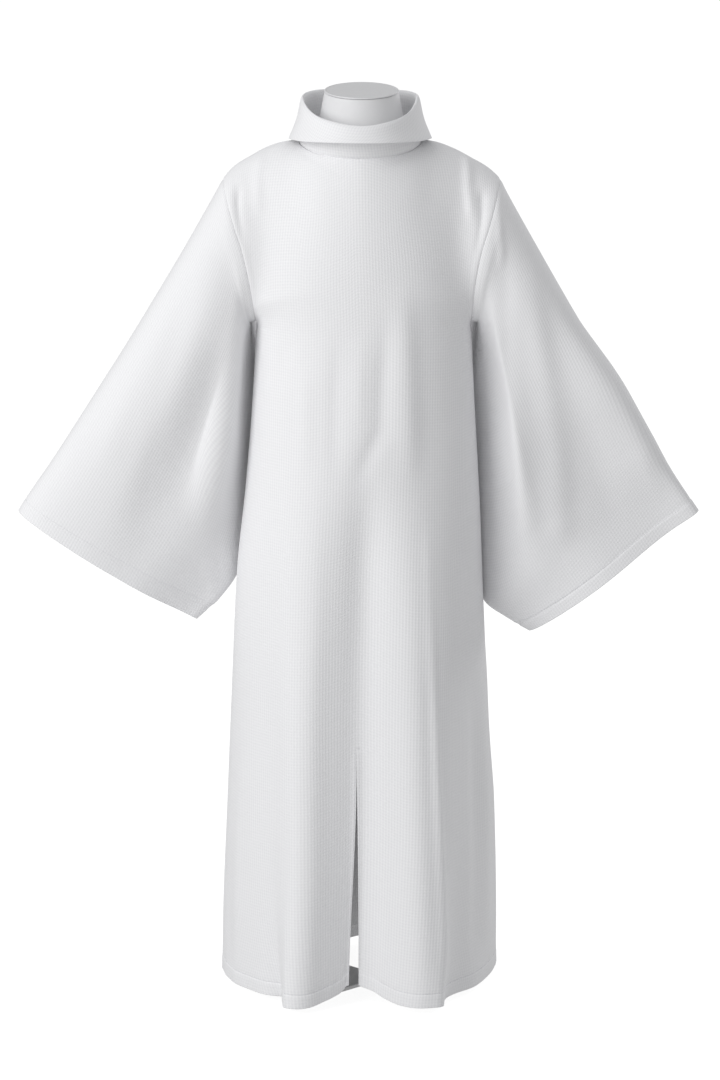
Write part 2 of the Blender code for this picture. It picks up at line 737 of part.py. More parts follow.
def ring_at(centre, half_width, front_y, back_y, fullness, lift=None):
    points = []
    power = 2.0 / fullness
    for i in range(FORM_SIDES):
        angle = 2 * math.pi * i / FORM_SIDES
        s, c = math.sin(angle), math.cos(angle)
        reach = (centre.y - front_y) if c > 0 else (back_y - centre.y)
        x = centre.x + half_width * signed_power(s, power)
        y = centre.y - reach * signed_power(c, power)
        points.append(Vector((x, y, centre.z + (lift(x, y) if lift else 0.0))))
    return points


def build_rings(name, rings, finish):
    count = len(rings[0])
    vertices = [point for ring in rings for point in ring]
    faces = []
    for j in range(len(rings) - 1):
        for i in range(count):
            k = (i + 1) % count
            faces.append([j * count + i, j * count + k, (j + 1) * count + k, (j + 1) * count + i])
    faces.append([i for i in reversed(range(count))])
    faces.append([(len(rings) - 1) * count + i for i in range(count)])
    return add_object(name, vertices, faces, finish)


def shoulder_ridge(normals):
    """Places under the shoulder seams on which the cloth rests, from the neck outwards."""
    ridge = []
    for n in range(RIDGE_RINGS):
        pair = []
        for hand in (-1, 1):
            seam = shoulder_point(hand, n / SHOULDER_COLUMNS)
            if n == 0:
                pair.append(seam - Vector((hand * NECK_FOOT_IN, 0, NECK_FOOT_DOWN)))
            else:
                drop = WALL / 2 + REST_GAP + (NECK_DIP if n == 1 else 0.0)
                pair.append(seam - normals[spot(seam)] * drop)
        ridge.append(pair)
    return ridge


def sag(x, y):
    """How far the form's shoulders fall away to the front and back of their ridge."""
    near_neck = 1 - ease(abs(x) / RIDGE_FLAT_REACH)
    return -RIDGE_FALL * (y - RIDGE_Y) ** 2 * (1 - RIDGE_FLAT * near_neck)


def build_torso(normals):
    rings = []
    for z in TORSO_RINGS:
        sizes = [TORSO.at(name, z) for name in ("half_width", "front_y", "back_y", "fullness")]
        rings.append(ring_at(Vector((FORM_X, 0.0, z)), *sizes))
    ridge = shoulder_ridge(normals)
    for n in reversed(range(RIDGE_RINGS)):
        right, left = ridge[n]
        centre = (right + left) / 2
        half_width = (left.x - right.x) / 2
        tilt = (left.z - right.z) / (left.x - right.x)
        back_y = RIDGE_BACK_Y - RIDGE_BACK_TAPER * n / (RIDGE_RINGS - 1)
        ring = ring_at(centre, half_width, RIDGE_FRONT_Y, back_y, RIDGE_ROUND, sag)
        rings.append([p + Vector((0, 0, tilt * (p.x - centre.x))) for p in ring])
    for z in NECK_RINGS:
        sizes = [NECK.at(name, z) for name in ("half_width", "front_y", "back_y")]
        rings.append(ring_at(Vector((0.0, NECK_Y, z)), *sizes, 2.0))
    rings.append(cap_ring(CAP_RADIUS, -SEAM_GAP))
    return build_rings("form_torso", rings, "form_shell")


def cap_ring(radius, height):
    """Ring round the sloping end of the form's neck, at a height over its face."""
    centre = Vector((0.0, CAP_Y, CAP_Z - CAP_THICK))
    across = Vector((1, 0, 0))
    forward = Vector((0, -math.cos(CAP_TILT), -math.sin(CAP_TILT)))
    up = Vector((0, -math.sin(CAP_TILT), math.cos(CAP_TILT)))
    points = []
    for i in range(FORM_SIDES):
        angle = 2 * math.pi * i / FORM_SIDES
        points.append(
            centre + radius * (across * math.sin(angle) + forward * math.cos(angle)) + up * height
        )
    return points


def round_outline(radius, count):
    turns = [2 * math.pi * i / count for i in range(count)]
    return [Vector((radius * math.sin(turn), -radius * math.cos(turn), 0)) for turn in turns]


def cross_outline():
    """Outline of the base: flat arms that run out between the front, the back and the sides."""
    step = 2 * math.pi / BASE_ARMS
    points = []
    for n in range(BASE_ARMS):
        turn = (n + 0.5) * step
        along = Vector((math.sin(turn), -math.cos(turn), 0))
        beside = Vector((math.cos(turn), math.sin(turn), 0))
        points.append(along * BASE_REACH - beside * BASE_WIDTH / 2)
        points.append(along * BASE_REACH + beside * BASE_WIDTH / 2)
        inner = Vector((math.sin(turn + step / 2), -math.cos(turn + step / 2), 0))
        points.append(inner * BASE_WIDTH / 2 / math.sin(step / 2))
    return points


def build_upright(name, outline, low, high):
    """Straight upright solid on the stand's axis, from an outline round it."""
    rings = [[Vector((POLE_X + p.x, p.y, z)) for p in outline] for z in (low, high)]
    return build_rings(name, rings, "stand_metal")


def main():
    for thing in list(bpy.data.objects):
        bpy.data.objects.remove(thing, do_unlink=True)
    sheets = [
        make_panel("front", -1),
        make_panel("back", 1),
        make_sleeve("sleeve_right", -1),
        make_sleeve("sleeve_left", 1),
        make_collar(),
    ]
    normals = shared_normals(sheets)
    for sheet in sheets:
        build_wall(sheet, normals)
    build_torso(normals)
    cap_rings = [
        cap_ring(CAP_RADIUS, 0.0),
        cap_ring(CAP_RADIUS, CAP_THICK - CAP_EDGE_RISE),
        cap_ring(CAP_RADIUS - CAP_EDGE, CAP_THICK),
    ]
    build_rings("form_neck_cap", cap_rings, "form_cap")
    pole_low = BASE_THICK + SEAM_GAP
    pole_high = TORSO_BOTTOM_Z - SEAM_GAP
    build_upright("form_pole", round_outline(POLE_RADIUS, POLE_SIDES), pole_low, pole_high)
    build_upright("form_base", cross_outline(), 0.0, BASE_THICK)


main()
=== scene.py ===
"""A white alb with a fold-over collar and wide sleeves, hanging on a limbless dress form.

Every cut piece of the alb is a thin shell laid on the same drape as its solid: a fine grid
of cloth is put on the drape, then gets its creases, its sunk seams and its turned hems,
and last its machine stitches.
"""

from __future__ import annotations

import logging
import math
from dataclasses import dataclass, field
from enum import Enum
from functools import lru_cache

import bmesh
import bpy
import numpy as np
from mathutils import Matrix, Vector

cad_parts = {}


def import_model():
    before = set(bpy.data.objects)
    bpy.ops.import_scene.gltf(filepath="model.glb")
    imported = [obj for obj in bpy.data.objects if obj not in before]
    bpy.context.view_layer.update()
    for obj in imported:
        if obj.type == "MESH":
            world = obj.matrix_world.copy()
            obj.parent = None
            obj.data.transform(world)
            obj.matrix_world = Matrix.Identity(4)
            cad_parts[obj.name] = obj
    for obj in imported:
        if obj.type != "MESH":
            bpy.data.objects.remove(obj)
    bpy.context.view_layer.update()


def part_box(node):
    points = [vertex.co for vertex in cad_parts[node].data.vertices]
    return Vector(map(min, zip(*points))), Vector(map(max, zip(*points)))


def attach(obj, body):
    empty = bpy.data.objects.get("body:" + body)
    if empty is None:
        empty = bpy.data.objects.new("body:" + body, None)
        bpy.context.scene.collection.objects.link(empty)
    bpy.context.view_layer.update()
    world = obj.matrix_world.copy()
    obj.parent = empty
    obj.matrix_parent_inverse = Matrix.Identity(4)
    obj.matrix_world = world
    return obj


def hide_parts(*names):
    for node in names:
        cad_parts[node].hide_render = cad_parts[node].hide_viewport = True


LOG = logging.getLogger("alb")
UV_NAME = "cloth"
MERGE_GAP = 1e-6


class Side(Enum):
    """Half of the body that a piece covers; the value is its sign along Y."""

    FRONT = -1
    BACK = 1


class Hand(Enum):
    """Arm that a piece covers, as the wearer has it; the value is its sign along X."""

    RIGHT = -1
    LEFT = 1


class SizeTable:
    """Rows of sizes under named columns, read between rows by a curve that never overshoots."""

    def __init__(self, names: tuple[str, ...], rows: tuple[tuple[float, ...], ...]) -> None:
        """Keeps the columns and the slope of each at every row.

        Args:
            names: The key's name, then one for each column.
            rows: The key and the sizes of each row, in order of the key.
        """
        self.keys = [row[0] for row in rows]
        self.columns: dict[str, tuple[list[float], list[float]]] = {}
        for index, name in enumerate(names[1:], start=1):
            values = [row[index] for row in rows]
            self.columns[name] = (values, self._slopes(values))

    def _slopes(self, values: list[float]) -> list[float]:
        """Slope at each row, level where the column turns."""
        keys = self.keys
        steps = [
            (values[i + 1] - values[i]) / (keys[i + 1] - keys[i]) for i in range(len(keys) - 1)
        ]
        slopes = [steps[0]]
        for before, after in zip(steps, steps[1:]):
            slopes.append(0.0 if before * after <= 0 else 2 * before * after / (before + after))
        slopes.append(steps[-1])
        return slopes

    @lru_cache(maxsize=None)
    def at(self, name: str, key: float) -> float:
        """Size of one column at a key.

        Args:
            name: The column.
            key: Where to read it; past the ends it keeps the last row's size.

        Returns:
            The size there.
        """
        values, slopes = self.columns[name]
        keys = self.keys
        if key <= keys[0]:
            return values[0]
        if key >= keys[-1]:
            return values[-1]
        i = max(n for n in range(len(keys) - 1) if keys[n] <= key)
        span = keys[i + 1] - keys[i]
        t = (key - keys[i]) / span
        return (
            values[i] * (1 + 2 * t) * (1 - t) ** 2
            + slopes[i] * span * t * (1 - t) ** 2
            + values[i + 1] * t * t * (3 - 2 * t)
            + slopes[i + 1] * span * t * t * (t - 1)
        )


def clamp(value: float, low: float = 0.0, high: float = 1.0) -> float:
    """Value kept between low and high."""
    return max(low, min(high, value))


def ease(value: float) -> float:
    """Smooth rise from 0 to 1."""
    t = clamp(value)
    return t * t * (3 - 2 * t)


def bump(offset: float, width: float) -> float:
    """Smooth hump, 1 in the middle and 0 from its width on."""
    return 0.5 + 0.5 * math.cos(math.pi * clamp(abs(offset) / width))


def signed_power(value: float, power: float) -> float:
    """Power of a number's size, with its sign kept."""
    return math.copysign(abs(value) ** power, value)


def lay_grid(
    bm: bmesh.types.BMesh, rows: int, columns: int
) -> dict[bmesh.types.BMVert, tuple[int, int]]:
    """Adds a grid of faces and returns the row and the column of each of its vertices."""
    bmesh.ops.create_grid(bm, x_segments=columns, y_segments=rows, size=1.0)
    spots = {}
    for vert in bm.verts:
        column = round((vert.co.x + 1) / 2 * columns)
        row = round((vert.co.y + 1) / 2 * rows)
        spots[vert] = (row, column)
    return spots


def object_from(
    name: str, bm: bmesh.types.BMesh, finish: bpy.types.Material
) -> bpy.types.Object:
    """Makes an object of one finish and adds it to the scene.

    Args:
        name: The object's name.
        bm: Its faces, which are freed.
        finish: The material.

    Returns:
        The object.
    """
    mesh = bpy.data.meshes.new(name)
    bm.to_mesh(mesh)
    bm.free()
    mesh.materials.append(finish)
    thing = bpy.data.objects.new(name, mesh)
    bpy.context.scene.collection.objects.link(thing)
    return thing


@dataclass(eq=False)
class Drape:
    """The hanging alb's middle surface, from the sizes of its cut and of its largest folds."""

    hem_z: float = 0.012
    armpit_z: float = 1.134
    shoulder: tuple[float, float, float] = (0.2270, 0.000, 1.3675)
    armhole_reach: dict[int, float] = field(default_factory=lambda: {-1: 0.080, 1: 0.076})
    chest_rise: float = 0.22
    top_turn: float = math.radians(56.0)
    fold_top_z: float = 0.98
    step_top_z: float = 0.30
    vent_top_z: float = 0.4425
    vent_half_gap: float = 0.0082
    vent_share: float = 0.05
    neck_centre_x: float = -0.002
    neck_half_width: float = 0.1005
    neck_front: tuple[float, float] = (-0.100, 1.4150)
    neck_side: tuple[float, float] = (0.012, 1.4305)
    neck_back: tuple[float, float] = (0.078, 1.4370)
    # How the sleeves round off at the armhole, bulge inwards and take their folds.
    armhole_power: float = 0.9
    armhole_fade: float = 0.35
    push_top: float = 0.45
    push_power: float = 1.2
    fold_middle: float = 0.55
    fold_reach: float = 0.5
    cuff_start: float = 0.35
    # How the front hem's folds widen and fade upwards and towards the side seams.
    hem_soften: float = 0.045
    side_fade: float = 0.06
    side_power: int = 8
    fold_fade_power: float = 1.15
    step_fade_power: float = 1.5
    lift_height: float = 0.40
    # How the chest's rows run up into the shoulder and neck seams.
    cross_power: float = 2.5
    neck_blend: float = 0.40
    edge_blend: float = 0.30
    # How far the collar's fall lies to the right of its stand.
    fall_shift: float = 0.0008
    # Even steps along a shoulder seam and along the neck seam, by side.
    shoulder_columns: int = 10
    neck_columns: dict[int, int] = field(default_factory=lambda: {-1: 20, 1: 18})

    trunk = SizeTable(
        ("z", "half_width", "centre_x", "side_y", "side_skew", "front_y", "back_y", "fullness"),
        (
            (0.012, 0.2312, -0.0050, 0.060, 0.025, -0.184, 0.200, 1.85),
            (0.130, 0.2290, -0.0045, 0.054, 0.022, -0.179, 0.187, 1.88),
            (0.315, 0.2222, -0.0031, 0.046, 0.018, -0.170, 0.169, 1.92),
            (0.488, 0.2135, -0.0042, 0.038, 0.014, -0.161, 0.155, 1.96),
            (0.703, 0.2046, -0.0030, 0.028, 0.008, -0.151, 0.139, 2.00),
            (0.865, 0.1925, 0.0016, 0.020, 0.004, -0.144, 0.129, 2.05),
            (1.000, 0.1828, 0.0032, 0.014, 0.002, -0.138, 0.120, 2.10),
            (1.134, 0.1762, 0.0040, 0.008, 0.000, -0.134, 0.116, 2.15),
        ),
    )
    upper = SizeTable(
        ("rise", "front_y", "front_z", "back_y", "back_z", "fullness"),
        (
            (0.00, -0.134, 1.134, 0.116, 1.134, 2.15),
            (0.15, -0.134, 1.178, 0.119, 1.180, 2.15),
            (0.35, -0.133, 1.235, 0.121, 1.241, 2.15),
            (0.60, -0.127, 1.307, 0.117, 1.318, 2.10),
            (0.82, -0.116, 1.368, 0.104, 1.386, 2.05),
            (1.00, -0.100, 1.415, 0.078, 1.437, 2.00),
        ),
    )
    armhole = SizeTable(
        ("z", "half_width"),
        (
            (1.134, 0.1762),
            (1.150, 0.1785),
            (1.180, 0.1815),
            (1.215, 0.1865),
            (1.260, 0.1960),
            (1.300, 0.2090),
            (1.335, 0.2190),
            (1.3675, 0.2270),
        ),
    )
    shoulder_line = SizeTable(
        ("share", "x", "y", "right_z", "left_z"),
        (
            (0.00, 0.1005, 0.0120, 1.4305, 1.4305),
            (0.14, 0.1180, 0.0110, 1.4292, 1.4284),
            (0.40, 0.1500, 0.0090, 1.4203, 1.4172),
            (0.64, 0.1800, 0.0060, 1.4058, 1.4022),
            (0.78, 0.1975, 0.0040, 1.3962, 1.3928),
            (0.89, 0.2110, 0.0020, 1.3862, 1.3834),
            (1.00, 0.2270, 0.0000, 1.3675, 1.3675),
        ),
    )
    front_hem = SizeTable(
        ("share", "x", "y", "lift"),
        (
            (-1.00, -0.2362, 0.035, 0.000),
            (-0.90, -0.2285, -0.012, 0.000),
            (-0.80, -0.2080, -0.056, 0.000),
            (-0.70, -0.1830, -0.090, 0.000),
            (-0.60, -0.1560, -0.122, 0.000),
            (-0.50, -0.1290, -0.135, 0.000),
            (-0.45, -0.1275, -0.170, 0.000),
            (-0.40, -0.1235, -0.199, 0.000),
            (-0.35, -0.1080, -0.202, 0.000),
            (-0.30, -0.0920, -0.199, 0.001),
            (-0.20, -0.0620, -0.184, 0.006),
            (-0.10, -0.0345, -0.172, 0.013),
            (0.00, -0.0130, -0.165, 0.024),
            (0.10, 0.0130, -0.167, 0.019),
            (0.20, 0.0400, -0.181, 0.010),
            (0.30, 0.0680, -0.194, 0.003),
            (0.40, 0.0970, -0.199, 0.001),
            (0.50, 0.1260, -0.198, 0.001),
            (0.55, 0.1345, -0.190, 0.001),
            (0.60, 0.1362, -0.163, 0.001),
            (0.65, 0.1400, -0.146, 0.000),
            (0.70, 0.1535, -0.121, 0.000),
            (0.80, 0.1830, -0.080, 0.000),
            (0.90, 0.2070, -0.010, 0.000),
            (1.00, 0.2262, 0.085, 0.000),
        ),
    )
    back_folds: tuple[tuple[float, float, float], ...] = (
        (-0.62, 0.20, 0.016),
        (-0.30, 0.22, -0.014),
        (0.05, 0.22, 0.016),
        (0.38, 0.22, -0.012),
        (0.68, 0.20, 0.014),
    )
    overarm = SizeTable(
        ("run", "right_x", "left_x", "y", "z"),
        (
            (0.00, 0.2270, 0.2270, 0.000, 1.3675),
            (0.06, 0.2460, 0.2450, 0.000, 1.3335),
            (0.36, 0.3430, 0.3400, 0.002, 1.1660),
            (0.66, 0.4485, 0.4405, 0.004, 0.9985),
            (0.84, 0.5135, 0.5015, 0.004, 0.8985),
            (0.96, 0.5595, 0.5475, 0.004, 0.8310),
            (1.00, 0.5700, 0.5600, 0.004, 0.8130),
        ),
    )
    underarm = SizeTable(
        ("run", "right_x", "left_x", "y", "right_z", "left_z", "right_push", "left_push", "tuck"),
        (
            (0.00, 0.1722, 0.1802, 0.008, 1.1340, 1.1340, 0.000, 0.000, 0.000),
            (0.03, 0.1845, 0.1930, 0.012, 1.1310, 1.1310, 0.000, 0.000, 0.002),
            (0.07, 0.1830, 0.1915, 0.028, 1.1130, 1.1130, 0.004, 0.004, 0.010),
            (0.12, 0.1775, 0.1865, 0.044, 1.0840, 1.0840, 0.012, 0.014, 0.014),
            (0.20, 0.1705, 0.1785, 0.060, 1.0400, 1.0400, 0.021, 0.025, 0.012),
            (0.40, 0.1690, 0.1760, 0.082, 0.9380, 0.9300, 0.026, 0.030, 0.008),
            (0.60, 0.1740, 0.1770, 0.090, 0.8370, 0.8100, 0.032, 0.030, 0.004),
            (0.75, 0.1850, 0.1850, 0.086, 0.7600, 0.7150, 0.028, 0.020, 0.002),
            (0.86, 0.2050, 0.2060, 0.068, 0.7000, 0.6470, 0.012, 0.008, 0.000),
            (0.94, 0.2390, 0.2440, 0.049, 0.6560, 0.6220, 0.003, 0.003, 0.000),
            (1.00, 0.2765, 0.2815, 0.030, 0.6240, 0.6040, 0.000, 0.000, 0.000),
        ),
    )
    sleeve_depth = SizeTable(
        ("run", "front", "back"),
        (
            (0.00, 0.080, 0.076),
            (0.25, 0.098, 0.060),
            (0.50, 0.100, 0.050),
            (0.75, 0.088, 0.046),
            (1.00, 0.068, 0.050),
        ),
    )
    # Hand, side, centre, width, depth at mid arm and depth at the cuff.
    sleeve_folds: tuple[tuple[float, ...], ...] = (
        (-1, -1, 0.24, 0.26, 0.036, 0.000),
        (1, -1, 0.28, 0.24, 0.028, 0.000),
        (-1, -1, 0.62, 0.20, 0.008, 0.000),
        (-1, -1, 0.42, 0.20, -0.018, -0.004),
        (-1, -1, 0.21, 0.22, 0.000, -0.020),
        (1, -1, 0.62, 0.28, -0.018, -0.020),
        (1, -1, 0.73, 0.28, 0.000, -0.030),
        (1, -1, 0.40, 0.20, 0.012, -0.002),
        (-1, 1, 0.50, 0.24, -0.014, -0.006),
        (1, 1, 0.54, 0.24, -0.012, -0.008),
    )
    collar = SizeTable(
        ("step", "half_width", "front_y", "side_y", "back_y", "front_z", "side_z", "back_z"),
        (
            (0.0, 0.1005, -0.1000, 0.012, 0.0780, 1.4150, 1.4305, 1.4370),
            (1.0, 0.0970, -0.1105, 0.008, 0.0890, 1.4420, 1.4680, 1.4720),
            (2.0, 0.0920, -0.1175, 0.004, 0.0975, 1.4665, 1.5005, 1.5020),
            (2.5, 0.0936, -0.1200, 0.004, 0.1000, 1.4700, 1.5050, 1.5060),
            (3.0, 0.0960, -0.1225, 0.004, 0.1030, 1.4680, 1.5020, 1.5035),
            (4.0, 0.1036, -0.1275, 0.004, 0.1085, 1.4565, 1.4690, 1.4710),
            (5.0, 0.1166, -0.1325, 0.004, 0.1130, 1.4436, 1.4355, 1.4400),
        ),
    )

    @lru_cache(maxsize=None)
    def armhole_point(self, hand: int, side: int, rise: float) -> Vector:
        """Point of an armhole seam, from rise 0 at the armpit to 1 at the shoulder."""
        z = self.armpit_z + (self.shoulder[2] - self.armpit_z) * (1 - math.cos(math.pi * rise)) / 2
        fade = 1 - rise
        x = hand * self.armhole.at("half_width", z)
        x += self.trunk.at("centre_x", self.armpit_z) * fade**2
        y = self.trunk.at("side_y", self.armpit_z) * fade
        y += side * self.armhole_reach[side] * math.sin(math.pi * clamp(rise)) ** self.armhole_power
        return Vector((x, y, z))

    @lru_cache(maxsize=None)
    def side_point(self, hand: int, v: float) -> Vector:
        """Point of a side seam, from v 0 at the hem to 1 at the armpit."""
        z = self.hem_z + (self.armpit_z - self.hem_z) * v
        x = self.trunk.at("centre_x", z) + hand * self.trunk.at("half_width", z)
        y = self.trunk.at("side_y", z) + hand * self.trunk.at("side_skew", z)
        return Vector((x, y, z))

    @lru_cache(maxsize=None)
    def neck_point(self, side: int, turn: float) -> Vector:
        """Point of the neck seam, from turn -1 at the right shoulder to 1 at the left."""
        angle = turn * math.pi / 2
        mid_y, mid_z = self.neck_front if side < 0 else self.neck_back
        x = self.neck_centre_x + self.neck_half_width * math.sin(angle)
        y = self.neck_side[0] + (mid_y - self.neck_side[0]) * math.cos(angle)
        z = self.neck_side[1] + (mid_z - self.neck_side[1]) * math.cos(angle)
        return Vector((x, y, z))

    @lru_cache(maxsize=None)
    def shoulder_point(self, hand: int, share: float) -> Vector:
        """Point of a shoulder seam, from share 0 at the neck to 1 at the armhole."""
        x = hand * self.shoulder_line.at("x", share) + self.neck_centre_x * (1 - share)
        z = self.shoulder_line.at("left_z" if hand > 0 else "right_z", share)
        return Vector((x, self.shoulder_line.at("y", share), z))

    def neck_share(self, side: int) -> float:
        """Share of a panel's half width that its neck seam takes."""
        return self.neck_columns[side] / (self.neck_columns[side] + 2 * self.shoulder_columns)

    @lru_cache(maxsize=None)
    def top_point(self, side: int, s: float) -> Vector:
        """Point of a panel's top edge, shoulder seams and neck seam in one."""
        reach = self.neck_share(side)
        if abs(s) <= reach + 1e-9:
            return self.neck_point(side, clamp(s / reach, -1, 1))
        return self.shoulder_point(1 if s > 0 else -1, (abs(s) - reach) / (1 - reach))

    @staticmethod
    def row_shape(
        right: Vector, left: Vector, mid: Vector, turn: float, fullness: float, s: float
    ) -> Vector:
        """Point at share s of an arc from the right edge over the middle to the left edge."""
        power = 2.0 / fullness
        end_sin, end_cos = math.sin(turn), max(math.cos(turn), 0.0)
        g = signed_power(math.sin(s * turn), power) / end_sin**power
        low = end_cos**power
        h = (max(math.cos(s * turn), 0.0) ** power - low) / (1 - low)
        edge = right.lerp(left, (g + 1) / 2)
        return edge + (mid - (right + left) / 2) * h

    @lru_cache(maxsize=None)
    def row_turn(self, side: int, rise: float) -> float:
        """Half angle of the arc left between the armholes, which cut into the body's section."""
        r = min(rise, 0.5)
        start = self.trunk.at("side_y", self.armpit_z)
        edge = self.armhole_point(1, side, r).y
        mid = self.upper.at("front_y" if side < 0 else "back_y", r)
        share = clamp((edge - start) / (mid - start))
        turn = math.acos(share ** (self.upper.at("fullness", r) / 2))
        return turn + (self.top_turn - turn) * ease((rise - 0.5) / 0.5)

    @lru_cache(maxsize=None)
    def smooth_panel(self, side: int, s: float, v: float) -> Vector:
        """Point of a body panel without its folds."""
        name = "front" if side < 0 else "back"
        if v <= 1.0:
            right, left = self.side_point(-1, v), self.side_point(1, v)
            z = right.z
            mid = Vector(((right.x + left.x) / 2, self.trunk.at(name + "_y", z), z))
            fullness = self.trunk.at("fullness", z)
            return self.row_shape(right, left, mid, math.pi / 2, fullness, s)
        rise = v - 1
        right, left = self.armhole_point(-1, side, rise), self.armhole_point(1, side, rise)
        shift = self.trunk.at("centre_x", self.armpit_z) * (1 - rise) ** 2
        shift += self.neck_centre_x * rise
        mid_y, mid_z = self.upper.at(name + "_y", rise), self.upper.at(name + "_z", rise)
        fullness = self.upper.at("fullness", rise)
        turn = self.row_turn(side, rise)
        return self.row_shape(right, left, Vector((shift, mid_y, mid_z)), turn, fullness, s)

    @lru_cache(maxsize=None)
    def hem_shift(self, s: float) -> Vector:
        """How far the front hem lies from the plain section there, in X and Y."""
        plain = self.smooth_panel(-1, s, 0.0)
        x, y = self.front_hem.at("x", s), self.front_hem.at("y", s)
        return Vector((x - plain.x, y - plain.y, 0.0))

    @lru_cache(maxsize=None)
    def soft_hem_shift(self, s: float) -> Vector:
        """The hem's shift as it is higher up, where its folds have widened."""
        total, weights = Vector((0, 0, 0)), 0.0
        for step in range(-3, 4):
            weight = 4 - abs(step)
            total = total + weight * self.hem_shift(clamp(s + step * self.hem_soften, -1, 1))
            weights += weight
        return total / weights * (1 - abs(s) ** self.side_power)

    def shoulder_blend(self, point: Vector, side: int, s: float, t: float) -> Vector:
        """Draws the rows over the chest up to the shoulder and neck seams, rounded over."""
        late, early = 1 - math.cos(math.pi * t / 2), math.sin(math.pi * t / 2)
        top = self.top_point(side, s)
        gap = top - self.smooth_panel(side, s, 2.0)
        point = point + Vector((gap.x * t**self.cross_power, gap.y * late, gap.z * early))
        if t > 0.0:
            chest = self.smooth_panel(side, s, 1 + self.chest_rise)
            over = chest + Vector((0, (top.y - chest.y) * late, (top.z - chest.z) * early))
            share = ease(abs(s) / self.neck_blend) * ease((1 - abs(s)) / self.edge_blend)
            point.y += (over.y - point.y) * share
            point.z += (over.z - point.z) * share
        return point

    def panel_point(self, side: int, s: float, v: float) -> Vector:
        """Point of a body panel: s -1 to 1 across, v 0 hem to 1 armpit to 2 shoulder."""
        point = self.smooth_panel(side, s, v)
        if v > 1.0:
            t = clamp((v - 1 - self.chest_rise) / (1 - self.chest_rise))
            return self.shoulder_blend(point, side, s, t)
        height = point.z - self.hem_z
        fade = clamp(1 - height / (self.fold_top_z - self.hem_z)) ** self.fold_fade_power
        if side < 0:
            low = clamp(1 - height / (self.step_top_z - self.hem_z))
            sharp = low**self.step_fade_power
            shift = self.soft_hem_shift(s).lerp(self.hem_shift(s), sharp)
            point = point + fade * ease((1 - abs(s)) / self.side_fade) * shift
            point.z += self.front_hem.at("lift", s) * clamp(1 - height / self.lift_height) ** 2
            return point
        push = sum(depth * bump(s - centre, width) for centre, width, depth in self.back_folds)
        return point + Vector((0, fade * push, 0))

    def plain_sleeve(self, hand: int, side: int, rise: float, run: float) -> Vector:
        """Point of a sleeve as it would lie with no armhole and no folds."""
        name = "left" if hand > 0 else "right"
        top = Vector(
            (
                hand * self.overarm.at(name + "_x", run),
                self.overarm.at("y", run),
                self.overarm.at("z", run),
            )
        )
        low = Vector(
            (
                hand * self.underarm.at(name + "_x", run),
                self.underarm.at("y", run),
                self.underarm.at(name + "_z", run),
            )
        )
        depth = self.sleeve_depth.at("front" if side < 0 else "back", run)
        point = low.lerp(top, (1 - math.cos(math.pi * rise)) / 2)
        point.y += side * depth * math.sin(math.pi * clamp(rise)) ** self.armhole_power
        if side < 0:
            push = self.underarm.at(name + "_push", run)
        else:
            push = -self.underarm.at("tuck", run)
        swell = math.sin(math.pi * clamp(rise / self.push_top)) ** self.push_power
        point.x += hand * push * swell
        return point

    def sleeve_point(self, hand: int, side: int, rise: float, run: float) -> Vector:
        """Point of a sleeve: rise 0 underarm to 1 overarm, run 0 armhole to 1 cuff."""
        point = self.plain_sleeve(hand, side, rise, run)
        gap = self.armhole_point(hand, side, rise) - self.plain_sleeve(hand, side, rise, 0.0)
        point = point + gap * (1 - ease(run / self.armhole_fade))
        at_middle = bump(run - self.fold_middle, self.fold_reach)
        at_cuff = ease((run - self.cuff_start) / (1 - self.cuff_start))
        for fold_hand, fold_side, centre, width, middle, cuff in self.sleeve_folds:
            if fold_side == side and fold_hand == hand:
                depth = middle * at_middle + cuff * at_cuff
                point.y += side * depth * bump(rise - centre, width)
        return point

    def collar_point(self, side: int, turn: float, step: float) -> Vector:
        """Point of the collar: step 0 neck seam, 2.5 top of the fold, 5 edge of the fall."""
        angle = turn * math.pi / 2
        name = "front" if side < 0 else "back"
        side_y, side_z = self.collar.at("side_y", step), self.collar.at("side_z", step)
        x = self.neck_centre_x - self.fall_shift * clamp(step - 2)
        x += self.collar.at("half_width", step) * math.sin(angle)
        y = side_y + (self.collar.at(name + "_y", step) - side_y) * math.cos(angle)
        z = side_z + (self.collar.at(name + "_z", step) - side_z) * math.cos(angle)
        return Vector((x, y, z))


@dataclass(frozen=True)
class Crease:
    """A soft ridge or trough of the cloth along a short path, fading out at its ends.

    The path is given as seen from the front, in X and Z. A height above 0 is a ridge. The
    two widths are those of its right and left flank as the path runs upwards.
    """

    path: tuple[tuple[float, float], ...]
    height: float
    right: float
    left: float
    start: float = 0.25
    end: float = 0.25


@dataclass(frozen=True)
class HemSize:
    """A turned and stitched hem: its depth, the step of its edge and its machine stitches."""

    depth: float = 0.022
    swell: float = 0.0006
    edge_run: float = 0.002
    groove: float = 0.0008
    groove_width: float = 0.0018
    pucker: float = 0.00035
    pucker_pitch: float = 0.019
    pucker_reach: float = 0.010
    stitch_length: float = 0.0026
    stitch_pitch: float = 0.0034
    thread: float = 0.00055
    thread_proud: float = 0.2


@dataclass(frozen=True)
class SeamSize:
    """A sewn seam: how deep its line sinks and how the allowance under it lifts the cloth."""

    sink: float = 0.0010
    sink_width: float = 0.0024
    lift: float = 0.0003
    lift_run: float = 0.004
    allowance: float = 0.012
    allowance_run: float = 0.003


